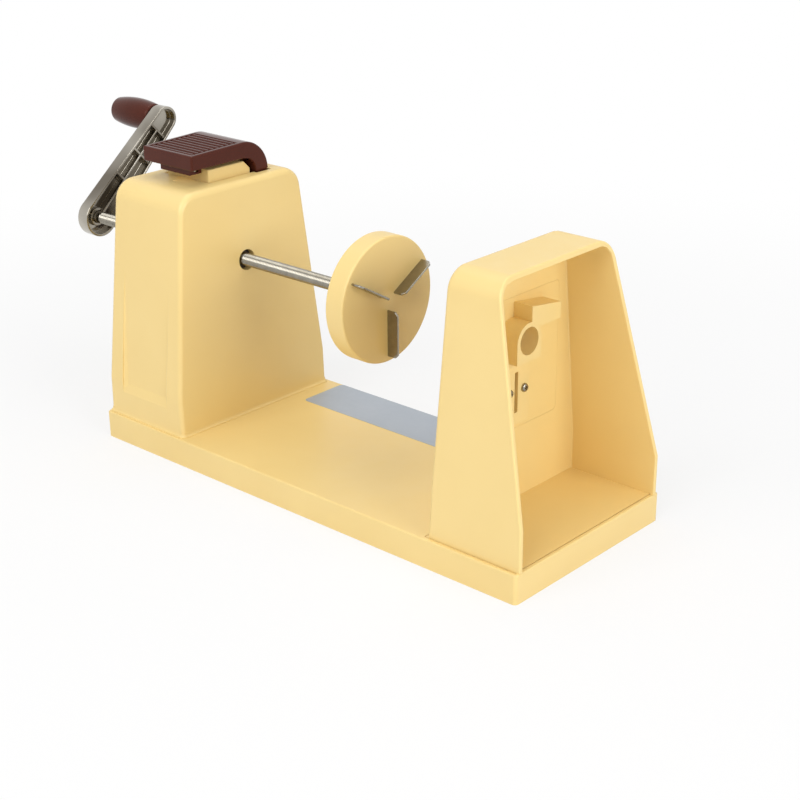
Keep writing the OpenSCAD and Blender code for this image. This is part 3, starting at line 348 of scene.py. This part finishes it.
def blade_tower_width(edge):
    """The outline at the back, the rim of the open end and the corners inside."""
    outer_rim_width = 1
    inner_width = 0.8
    spot = middle(edge)
    if looks_down(edge) or spot.z < base_high.z + NEAR or not corner(edge):
        return 0
    at_open_end = spot.x > hood_mid_x
    if on_outline(edge, hood_mid_x) and not bore(edge):
        return outer_rim_width if at_open_end else outline_width(edge)
    if max(face.normal.x for face in edge.link_faces) < UPRIGHT:
        return 0
    return inner_width if at_open_end or not convex(edge) else 0


def base_tray_width(edge):
    """The upper edges of the rim, and the edges of the blade tower's seat."""
    rim_width = 1
    seat_width = 0.3
    rim = 1 * MM
    seat_lip = 3 * MM
    spot = middle(edge)
    if spot.z < base_high.z - NEAR or not corner(edge) or not convex(edge):
        return 0
    at_end = min(spot.x - base_low.x, base_high.x - spot.x) < rim
    at_side = min(spot.y - base_low.y, base_high.y - spot.y) < rim
    if at_end or at_side:
        return rim_width
    beside_seat = spot.x > hood_low.x - rim and abs(spot.y) > hood_high.y
    return seat_width if beside_seat or spot.x > hood_high.x - seat_lip else 0


def lever_width(edge):
    """The ridges and the tray, the sides of the bend, the pad's edges and the flange under the pad."""
    ridge_width = 1
    tray_width = 0.5
    bend_width = 0.4
    more_up_the_bend = 0.8
    pad_width = 1.2
    flange_width = 0.8
    wall = 2 * MM
    tray_depth = 4 * MM
    pad_l = 42.5 * MM
    bend_h = 18 * MM
    pad_foot = tower_high.z + 11 * MM
    low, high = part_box("release_lever")
    spot = middle(edge)
    if not convex(edge) or not corner(edge):
        return 0
    between_walls = low.x + wall < spot.x < high.x - wall
    if between_walls and spot.y > low.y + wall and spot.z > high.z - tray_depth:
        along = (edge.verts[1].co - edge.verts[0].co).normalized()
        if abs(along.z) > UPRIGHT:
            return 0
        top = max(edge.link_faces, key=lambda face: face.normal.z)
        on_ridge = abs(along.x) > UPRIGHT and top.calc_area() < RIDGE_TOP
        return ridge_width if on_ridge else tray_width
    on_side = spot.x < low.x + NEAR or spot.x > high.x - NEAR
    past_pad = spot.y - (low.y + pad_l)
    if on_side and past_pad > 0 and not looks_down(edge):
        share = min(max((spot.z - tower_high.z) / bend_h, 0), 1)
        return bend_width + more_up_the_bend * share
    if spot.z > pad_foot:
        return pad_width
    at_near_end = spot.y < low.y + NEAR
    return flange_width if at_near_end or (on_side and past_pad < 0) else 0


def carrier_width(edge):
    """The block's corners above the tower, apart from its near top edge, which the tongue crosses."""
    block_width = 0.8
    clear_of_tower = tower_high.z + 2 * MM
    least_upright = 10 * MM
    tongue_y = SHAFT_AT.y - 15.5 * MM
    tongue_half = 8 * MM
    spot = middle(edge)
    heights = [vert.co.z for vert in edge.verts]
    if not corner(edge) or not convex(edge) or max(heights) < clear_of_tower:
        return 0
    upright = max(heights) - min(heights) > least_upright
    on_block = abs(spot.x - tower_mid_x) > tongue_half or spot.y > SHAFT_AT.y
    return block_width if on_block and (upright or spot.y > tongue_y) else 0


def arm_width(edge):
    """Wide on the outer side, narrow on the inner side and in the channel's corners."""
    outer_width = 1.2
    inner_width = 0.5
    channel_width = 0.3
    low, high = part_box("crank_arm")
    if not corner(edge):
        return 0
    if not convex(edge):
        return channel_width
    return outer_width if middle(edge).x < low.x + NEAR else inner_width


def even(width):
    """Rounds every corner by the same width, apart from those of hollows."""
    return lambda edge: width if corner(edge) and not bore(edge) else 0


# Finishes, made of nodes

class Finish:
    """A material on the principled shader, with noise that follows the part's own frame."""

    noise_low = 0.3
    noise_high = 0.7

    def __init__(self, name, colour, metallic=0.0):
        self.material = bpy.data.materials.new(name)
        self.material.use_nodes = True
        self.nodes = self.material.node_tree.nodes
        self.links = self.material.node_tree.links
        self.shader = self.nodes["Principled BSDF"]
        self.shader.inputs["Metallic"].default_value = metallic
        self.shader.inputs["Base Color"].default_value = (*colour, 1)
        self.place = self.nodes.new("ShaderNodeTexCoord").outputs["Object"]
        self.height = None

    def noise(self, scale, detail, stretch=(1, 1, 1)):
        """A noise with about that many grains in a metre."""
        mapping = self.nodes.new("ShaderNodeMapping")
        mapping.inputs["Scale"].default_value = stretch
        self.links.new(self.place, mapping.inputs["Vector"])
        noise = self.nodes.new("ShaderNodeTexNoise")
        noise.inputs["Scale"].default_value = scale
        noise.inputs["Detail"].default_value = detail
        self.links.new(mapping.outputs["Vector"], noise.inputs["Vector"])
        return noise.outputs["Fac"]

    def colours(self, source, first, second):
        """Colour that drifts between two shades."""
        ramp = self.nodes.new("ShaderNodeValToRGB")
        ramp.color_ramp.elements[0].position = self.noise_low
        ramp.color_ramp.elements[1].position = self.noise_high
        ramp.color_ramp.elements[0].color = (*first, 1)
        ramp.color_ramp.elements[1].color = (*second, 1)
        self.links.new(source, ramp.inputs["Fac"])
        self.links.new(ramp.outputs["Color"], self.shader.inputs["Base Color"])

    def roughness(self, source, low, high):
        """Roughness that drifts between two values."""
        spread = self.nodes.new("ShaderNodeMapRange")
        spread.inputs["From Min"].default_value = self.noise_low
        spread.inputs["From Max"].default_value = self.noise_high
        spread.inputs["To Min"].default_value = low
        spread.inputs["To Max"].default_value = high
        self.links.new(source, spread.inputs["Value"])
        self.links.new(spread.outputs["Result"], self.shader.inputs["Roughness"])

    def bump(self, source, depth, strength):
        """A relief of that depth in metres, over any relief set before it."""
        bump = self.nodes.new("ShaderNodeBump")
        bump.inputs["Strength"].default_value = strength
        bump.inputs["Distance"].default_value = depth
        self.links.new(source, bump.inputs["Height"])
        if self.height:
            self.links.new(self.height, bump.inputs["Normal"])
        self.height = bump.outputs["Normal"]
        self.links.new(self.height, self.shader.inputs["Normal"])


def cream_plastic():
    made = Finish("cream_plastic", (0.86, 0.645, 0.265))
    made.colours(made.noise(14, 3), (0.845, 0.628, 0.253), (0.875, 0.662, 0.277))
    made.roughness(made.noise(90, 3), 0.34, 0.44)
    made.bump(made.noise(45, 1), 0.08 * MM, 0.5)
    made.bump(made.noise(2600, 2), 0.03 * MM, 0.35)
    return made.material


def brown_plastic():
    made = Finish("brown_plastic", (0.074, 0.0192, 0.0125))
    made.shader.inputs["Specular IOR Level"].default_value = 0.2
    made.shader.inputs["Specular Tint"].default_value = (1, 0.6, 0.5, 1)
    made.colours(made.noise(60, 3), (0.067, 0.0172, 0.0112), (0.081, 0.0212, 0.0138))
    made.roughness(made.noise(160, 3), 0.1, 0.17)
    made.bump(made.noise(2200, 2), 0.03 * MM, 0.4)
    return made.material


def steel():
    made = Finish("steel", (0.31, 0.29, 0.245), 1.0)
    made.colours(made.noise(240, 4), (0.28, 0.26, 0.22), (0.34, 0.32, 0.27))
    made.roughness(made.noise(500, 3, (1, 6, 6)), 0.16, 0.27)
    made.bump(made.noise(3000, 2, (1, 8, 8)), 0.02 * MM, 0.4)
    return made.material


def chrome():
    made = Finish("chrome", (0.32, 0.295, 0.25), 1.0)
    # The base colour drifts between dark and light patches some 30 mm across: painted reflections,
    # standing in for the surroundings that the metal mirrors.
    made.colours(made.noise(34, 1.5), (0.17, 0.148, 0.118), (0.50, 0.47, 0.41))
    made.roughness(made.noise(300, 3), 0.07, 0.16)
    made.bump(made.noise(130, 2), 0.1 * MM, 0.4)
    return made.material


def brass():
    made = Finish("brass", (0.60, 0.42, 0.17), 1.0)
    made.colours(made.noise(200, 3), (0.54, 0.37, 0.14), (0.66, 0.47, 0.20))
    made.roughness(made.noise(500, 3, (1, 6, 6)), 0.25, 0.4)
    made.bump(made.noise(2500, 2, (1, 8, 8)), 0.02 * MM, 0.4)
    return made.material


def dark_plastic():
    made = Finish("dark_plastic", (0.05, 0.035, 0.022))
    made.colours(made.noise(150, 3), (0.042, 0.029, 0.018), (0.06, 0.042, 0.027))
    made.roughness(made.noise(300, 3), 0.45, 0.6)
    made.bump(made.noise(2000, 2), 0.04 * MM, 0.5)
    return made.material


def rubber():
    made = Finish("rubber", (0.03, 0.03, 0.03))
    made.colours(made.noise(200, 3), (0.024, 0.024, 0.024), (0.04, 0.04, 0.04))
    made.roughness(made.noise(400, 3), 0.65, 0.85)
    made.bump(made.noise(1800, 3), 0.06 * MM, 0.6)
    return made.material


def label():
    made = Finish("label", (0.40, 0.45, 0.52))
    made.colours(made.noise(30, 4), (0.385, 0.435, 0.505), (0.415, 0.465, 0.535))
    made.roughness(made.noise(250, 3), 0.38, 0.5)
    made.bump(made.noise(1500, 3), 0.02 * MM, 0.4)
    return made.material


makers = (cream_plastic, brown_plastic, steel, chrome, brass, dark_plastic, rubber, label)
finish = {maker.__name__: maker() for maker in makers}


# Mouldings, castings and blades: the solids with rounded corners

ROUNDED = {
    "base_tray": base_tray_width,
    "crank_tower": crank_tower_width,
    "blade_tower": blade_tower_width,
    "release_lever": lever_width,
    "nut_carrier": carrier_width,
    "crank_arm": arm_width,
    "comb_clamp": even(0.4),
    "foot_pads": even(0.4),
    "disc_fins": even(0.25),
    "main_blade": even(0.12),
    "comb_blade": even(0.06),
    "knob_cap": even(0.3),
    "knob_post": even(0.25),
    "knob_screw": even(0.2),
    "stop_washer": even(0.3),
    "front_bush": even(0.3),
    "rear_bush": even(0.3),
    "half_nut": even(0.2),
    "lever_hinge_pin": even(0.3),
    "link_pin": even(0.25),
    "disc_pin": even(0.3),
}
CRISP = {"crank_tower": in_grip}
for node, width_of in ROUNDED.items():
    moulding = round_edges(cad_form(node), node + "_form", width_of)
    stand_for(moulding, node, CRISP.get(node))


# Turned forms about +X

def lathe(name, profile, centre, closed, sides=96):
    """A form turned about a line along +X through centre, from the (x, radius) points of its outline."""
    bm = bmesh.new()
    rings = [
        [bm.verts.new((x, centre.y + r * c, centre.z + r * s)) for c, s in circle(sides)]
        for x, r in profile
    ]
    ring_faces(bm, rings, closed)
    return new_solid(bm, name)


def quarter(x, r, way_x, way_r, size, rising, steps=4):
    """Points of a rounding at the corner (x, r): the body lies along way_x and way_r from it."""
    points = []
    for i in range(steps + 1):
        a = i * QUARTER_TURN / steps
        near = size * (1 - math.sin(a))
        far = size * (1 - math.cos(a))
        in_x, in_r = (far, near) if rising else (near, far)
        points.append((x + way_x * in_x, r + way_r * in_r))
    return points


def disc_profile():
    """From the middle of the front, round the rim and the hub, to the end of the shaft's bore."""
    low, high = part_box("holder_disc")
    disc_r = (high.z - low.z) / 2
    middle_r = 2 * MM
    front_round = 1.2 * MM
    back_round = 0.8 * MM
    hub_r = 11 * MM
    hub_l = 8 * MM
    hub_round = 0.6 * MM
    cove = 1 * MM
    cove_in = 0.3 * MM
    bore_r = 4.02 * MM
    bore_l = 16 * MM
    back = low.x + hub_l
    return (
        [(high.x, middle_r)]
        + quarter(high.x, disc_r, -1, -1, front_round, True)
        + quarter(back, disc_r, 1, -1, back_round, False)
        + [(back, hub_r + cove), (back - cove_in, hub_r + cove_in), (back - cove, hub_r)]
        + quarter(low.x, hub_r, 1, -1, hub_round, False)
        + [(low.x, bore_r), (low.x + bore_l, bore_r)]
    )


def knob_profile():
    """Along the belly from the outer end, and back through the bore and the cap's recess."""
    low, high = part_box("crank_knob")
    knob_r = (high.z - low.z) / 2
    end_r = 8.5 * MM
    recess_r = 6 * MM
    recess_l = 7 * MM
    bore_r = 3.05 * MM
    end_round = 1.6 * MM
    steps = 16
    half = (high.x - low.x) / 2
    belly = knob_r - end_r
    arc_r = (half * half + belly * belly) / (2 * belly)

    def side(x):
        return knob_r - arc_r + math.sqrt(arc_r * arc_r - (x - low.x - half) ** 2)

    first = low.x + end_round
    last = high.x - end_round
    belly_xs = [first + (last - first) * i / steps for i in range(1, steps)]
    return (
        quarter(low.x, side(first), 1, -1, end_round, True)
        + [(x, side(x)) for x in belly_xs]
        + quarter(high.x, side(last), -1, -1, end_round, False)
        + [(high.x, bore_r), (low.x + recess_l, bore_r), (low.x + recess_l, recess_r), (low.x, recess_r)]
    )


TURNED = {
    "holder_disc": (disc_profile(), SHAFT_AT, False),
    "crank_knob": (knob_profile(), KNOB_AT, True),
}
for node, (profile, centre, closed) in TURNED.items():
    stand_for(lathe(node + "_form", profile, centre, closed), node)


# Cove round the foot of the crank tower

def foot_cove():
    """A ring with a hollow outer face, sunk into the tower's walls."""
    lip = 1.2 * MM
    lip_h = 0.5 * MM
    cove_h = 2.6 * MM
    sunk = 0.8 * MM
    corner_r = 2.2 * MM
    steps = 6
    arc = [i * QUARTER_TURN / steps for i in range(steps + 1)]
    profile = [(-sunk, 0), (lip, 0)]
    profile += [(lip * (1 - math.sin(a)), lip_h + (cove_h - lip_h) * (1 - math.cos(a))) for a in arc]
    profile += [(-sunk, cove_h)]
    bm = bmesh.new()
    rings = [
        rounded_ring(bm, tower_low, tower_high, tower_low.z + up, corner_r, steps, out)
        for out, up in profile
    ]
    ring_faces(bm, rings)
    return new_solid(bm, "crank_tower_foot")


foot = foot_cove()
shade(foot)
paint(foot, "cream_plastic")
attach(foot, "frame")


# Feed shaft with its rolled thread

def threaded_shaft():
    """A bar with a fine thread between its plain ends, whose last edges are bevelled."""
    low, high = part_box("feed_shaft")
    outer_r = (high.z - low.z) / 2
    pitch = 1.25 * MM
    depth = 0.45 * MM
    plain = 9 * MM
    sides = 24
    per_turn = 5
    count = round((high.x - low.x) * per_turn / pitch)
    bm = bmesh.new()
    rings = []
    for i in range(count + 1):
        x = low.x + (high.x - low.x) * i / count
        on_thread = plain < x - low.x and plain < high.x - x
        end_cut = depth if i in (0, count) else 0
        ring = []
        for k, (c, s) in enumerate(circle(sides)):
            phase = (x / pitch - k / sides) % 1
            cut = depth * (1 - abs(2 * phase - 1)) if on_thread else end_cut
            r = outer_r - cut
            ring.append(bm.verts.new((x, SHAFT_AT.y + r * c, SHAFT_AT.z + r * s)))
        rings.append(ring)
    ring_faces(bm, rings, closed=False)
    return new_solid(bm, "feed_shaft_form")


stand_for(threaded_shaft(), "feed_shaft")


# Return spring with flat end coils

def spring_coil():
    """A wire wound about +Z, with a coil pressed flat at each end."""
    low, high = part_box("return_spring")
    wire_r = 0.8 * MM
    coil_r = (high.x - low.x) / 2 - wire_r
    centre = (low + high) / 2
    turns = 7
    dead_turns = 1
    dead_pitch = 2.1 * wire_r
    steps = 28
    sides = 12
    bottom = low.z + wire_r
    top = high.z - wire_r
    pressed = dead_pitch * dead_turns

    def height(turn):
        if turn < dead_turns:
            return bottom + dead_pitch * turn
        if turn > turns - dead_turns:
            return top - dead_pitch * (turns - turn)
        share = (turn - dead_turns) / (turns - 2 * dead_turns)
        return bottom + pressed + (top - bottom - 2 * pressed) * share

    up = Vector((0, 0, 1))
    bm = bmesh.new()
    rings = []
    for i in range(turns * steps + 1):
        turn = 2 * math.pi * i / steps
        out = Vector((math.cos(turn), math.sin(turn), 0))
        at = Vector((centre.x, centre.y, height(i / steps))) + coil_r * out
        rings.append([bm.verts.new(at + wire_r * (c * out + s * up)) for c, s in circle(sides)])
    ring_faces(bm, rings, closed=False)
    return new_solid(bm, "return_spring_form")


spring = spring_coil()
stand_for(spring, "return_spring")
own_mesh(spring)


# Screws with domed heads and cross recesses

def islands(node):
    """The lowest and highest corner of each separate solid in a node."""
    bm = cad_form(node)
    found = set()
    boxes = []
    for start in bm.verts:
        if start in found:
            continue
        found.add(start)
        group = [start]
        for vert in group:
            for edge in vert.link_edges:
                other = edge.other_vert(vert)
                if other not in found:
                    found.add(other)
                    group.append(other)
        low = Vector(tuple(min(vert.co[i] for vert in group) for i in range(3)))
        high = Vector(tuple(max(vert.co[i] for vert in group) for i in range(3)))
        boxes.append((low, high))
    bm.free()
    return boxes


def screw_form(shank_r, shank_l, head_r, head_h):
    """A screw along +Z: the head's seat at 0, the shank above it, the dome with its cross recess below."""
    sides = 40
    steps = 6
    tip_r = 0.5 * shank_r
    flat_r = 0.62 * head_r
    edge_h = 0.35 * head_h
    recess_r = 0.5 * head_r
    recess_w = 0.11 * head_r
    recess_taper = 0.6
    recess_depth = 0.55 * head_h
    profile = [(tip_r, shank_l), (shank_r, shank_l - tip_r), (shank_r, 0), (head_r, 0)]
    for i in range(steps + 1):
        a = i * QUARTER_TURN / steps
        r = flat_r + (head_r - flat_r) * math.cos(a)
        profile.append((r, -edge_h - (head_h - edge_h) * math.sin(a)))
    bm = bmesh.new()
    rings = [[bm.verts.new((r * c, r * s, z)) for c, s in circle(sides)] for r, z in profile]
    for low, high in zip(rings, rings[1:]):
        join_rings(bm, low, high)
    bm.faces.new(rings[0])
    one_arm = [(recess_r, -recess_w), (recess_r, recess_w), (recess_w, recess_w)]
    cross = [Matrix.Rotation(k * QUARTER_TURN, 2) @ Vector(point) for k in range(4) for point in one_arm]
    mouth = [bm.verts.new((point.x, point.y, -head_h)) for point in cross]
    inner = [recess_taper * point for point in cross]
    floor = [bm.verts.new((point.x, point.y, recess_depth - head_h)) for point in inner]
    join_rings(bm, mouth, floor)
    bm.faces.new(floor)
    rim = [bm.edges.get((ring[i - 1], ring[i])) for ring in (rings[-1], mouth) for i in range(len(ring))]
    bmesh.ops.triangle_fill(bm, edges=rim, use_beauty=True, normal=(0, 0, -1))
    return new_solid(bm, "screw")


def screws(node, toward, shank_d, head_h):
    """One object with a detailed screw for each solid of the node, which points that way."""
    axis = max(range(3), key=lambda i: abs(toward[i]))
    turn = toward.to_track_quat("Z", "Y").to_matrix().to_4x4()
    made = bmesh.new()
    for low, high in islands(node):
        head_r = (high[axis - 1] - low[axis - 1]) / 2
        whole = high[axis] - low[axis]
        template = screw_form(shank_d / 2, whole - head_h, head_r, head_h)
        seat = (low + high) / 2
        seat[axis] = low[axis] + head_h if toward[axis] > 0 else high[axis] - head_h
        template.data.transform(Matrix.Translation(seat) @ turn)
        made.from_mesh(template.data)
        bpy.data.objects.remove(template)
    return new_object(made, node + "_form")


# Ways that screws point, and their sizes: the shank's diameter and the head's height
UP = Vector((0, 0, 1))
FORWARD = Vector((1, 0, 0))
ASSEMBLY = (3.5 * MM, 2.2 * MM)
SMALL = (2.6 * MM, 1.6 * MM)
LARGE = (5 * MM, 4 * MM)
SCREWS = {
    "crank_tower_screws": (UP, ASSEMBLY),
    "nut_guide_screws": (UP, ASSEMBLY),
    "blade_tower_screws": (UP, ASSEMBLY),
    "cutter_screws": (FORWARD, SMALL),
    "main_blade_screws": (FORWARD, SMALL),
    "comb_clamp_screws": (-FORWARD, SMALL),
    "crank_screw": (FORWARD, LARGE),
}
for node, (toward, size) in SCREWS.items():
    stand_for(screws(node, toward, *size), node)


# Plain sheet on the deck

def deck_sheet():
    low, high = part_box("label_sheet")
    corner_r = 2.5 * MM
    steps = 8
    edge_width = 0.1
    bm = bmesh.new()
    rings = [rounded_ring(bm, low, high, z, corner_r, steps) for z in (low.z, high.z)]
    ring_faces(bm, rings, closed=False)
    bmesh.ops.recalc_face_normals(bm, faces=bm.faces)
    return round_edges(bm, "label_sheet_form", even(edge_width), 2)


stand_for(deck_sheet(), "label_sheet")


# The nodes that stay as they are get their finish
for node, thing in frame["nodes"].items():
    paint(thing, slot_of[node])


# Floor, light and camera

WHITE = (1, 1, 1, 1)


def seen_rays(nodes, links):
    """A value of 1 for rays from the camera, in reflections and through glass, and 0 for the rest."""
    rays = nodes.new("ShaderNodeLightPath")
    seen = rays.outputs["Is Camera Ray"]
    for kind in ("Is Glossy Ray", "Is Transmission Ray"):
        either = nodes.new("ShaderNodeMath")
        either.operation = "MAXIMUM"
        links.new(seen, either.inputs[0])
        links.new(rays.outputs[kind], either.inputs[1])
        seen = either.outputs["Value"]
    return seen


def white_where_seen(nodes, links, out, share, lit, white):
    """Shows white, by its share, in place of what is lit."""
    mix = nodes.new("ShaderNodeMixShader")
    links.new(share, mix.inputs["Fac"])
    links.new(lit, mix.inputs[1])
    links.new(white, mix.inputs[2])
    links.new(mix.outputs["Shader"], out.inputs["Surface"])


def floor_finish():
    """White floor that keeps the shadow near the object and fades to the background further out."""
    fade_from = 0.15
    fade_to = 0.75
    white_near = 0.72
    material = bpy.data.materials.new("floor")
    material.use_nodes = True
    nodes = material.node_tree.nodes
    links = material.node_tree.links
    nodes.clear()
    out = nodes.new("ShaderNodeOutputMaterial")
    lit = nodes.new("ShaderNodeBsdfDiffuse")
    lit.inputs["Color"].default_value = (0.86, 0.86, 0.86, 1)
    white = nodes.new("ShaderNodeEmission")
    white.inputs["Color"].default_value = WHITE
    white.inputs["Strength"].default_value = 1
    place = nodes.new("ShaderNodeTexCoord")
    far = nodes.new("ShaderNodeVectorMath")
    far.operation = "LENGTH"
    links.new(place.outputs["Object"], far.inputs[0])
    fade = nodes.new("ShaderNodeMapRange")
    fade.interpolation_type = "SMOOTHSTEP"
    fade.inputs["From Min"].default_value = fade_from
    fade.inputs["From Max"].default_value = fade_to
    fade.inputs["To Min"].default_value = white_near
    fade.inputs["To Max"].default_value = 1
    links.new(far.outputs["Value"], fade.inputs["Value"])
    share = nodes.new("ShaderNodeMath")
    share.operation = "MULTIPLY"
    links.new(seen_rays(nodes, links), share.inputs[0])
    links.new(fade.outputs["Result"], share.inputs[1])
    shown = (lit.outputs["BSDF"], white.outputs["Emission"])
    white_where_seen(nodes, links, out, share.outputs["Value"], *shown)
    return material


def add_floor():
    half = 4.0
    bm = bmesh.new()
    corners = [bm.verts.new((x * half, y * half, 0)) for x, y in ((-1, -1), (1, -1), (1, 1), (-1, 1))]
    bm.faces.new(corners)
    floor = new_object(bm, "floor")
    floor.data.materials.append(floor_finish())


def add_world(level):
    """White to the camera and in reflections, and a soft level of light for the rest."""
    world = bpy.data.worlds.new("studio")
    world.use_nodes = True
    scene.world = world
    nodes = world.node_tree.nodes
    links = world.node_tree.links
    nodes.clear()
    out = nodes.new("ShaderNodeOutputWorld")
    shown = []
    for strength in (level, 1):
        background = nodes.new("ShaderNodeBackground")
        background.inputs["Color"].default_value = WHITE
        background.inputs["Strength"].default_value = strength
        shown.append(background.outputs["Background"])
    white_where_seen(nodes, links, out, seen_rays(nodes, links), *shown)


def add_soft_box(name, at, aim, size, watts):
    """A rectangular area lamp, turned toward aim."""
    lamp = bpy.data.lights.new(name, "AREA")
    lamp.shape = "RECTANGLE"
    lamp.size = size[0]
    lamp.size_y = size[1]
    lamp.energy = watts
    holder = bpy.data.objects.new(name, lamp)
    turn = (Vector(aim) - Vector(at)).to_track_quat("-Z", "Y").to_matrix().to_4x4()
    holder.matrix_world = Matrix.Translation(Vector(at)) @ turn
    scene.collection.objects.link(holder)


def add_camera(at, azimuth, elevation, roll, lens):
    """A camera that looks from that direction, turned about its own axis by the roll."""
    az, el, ro = (math.radians(angle) for angle in (azimuth, elevation, roll))
    back = Vector((math.sin(az) * math.cos(el), -math.cos(az) * math.cos(el), math.sin(el)))
    right = Vector((math.cos(az), math.sin(az), 0))
    up = back.cross(right)
    turned_right = math.cos(ro) * right - math.sin(ro) * up
    turned_up = math.cos(ro) * up + math.sin(ro) * right
    data = bpy.data.cameras.new("camera")
    data.sensor_fit = "HORIZONTAL"
    data.sensor_width = 36
    data.lens = lens
    camera = bpy.data.objects.new("camera", data)
    turn = Matrix((turned_right, turned_up, back)).transposed().to_4x4()
    camera.matrix_world = Matrix.Translation(Vector(at)) @ turn
    scene.collection.objects.link(camera)
    scene.camera = camera


AIM = (0, 0, 0.08)
add_floor()
add_world(0.30)
add_soft_box("key", (0.1, -1.5, 1.25), AIM, (1.6, 1.2), 19.9)
add_soft_box("fill", (1.85, -0.1, 0.75), AIM, (1.4, 0.7), 18.2)
add_soft_box("top", (-0.2, 0.2, 2.0), AIM, (1.6, 1.6), 15)
add_camera(at=(0.5977, -0.6287, 0.4106), azimuth=42.199, elevation=22.656, roll=0.515, lens=71.43)
scene.view_settings.view_transform = "Standard"
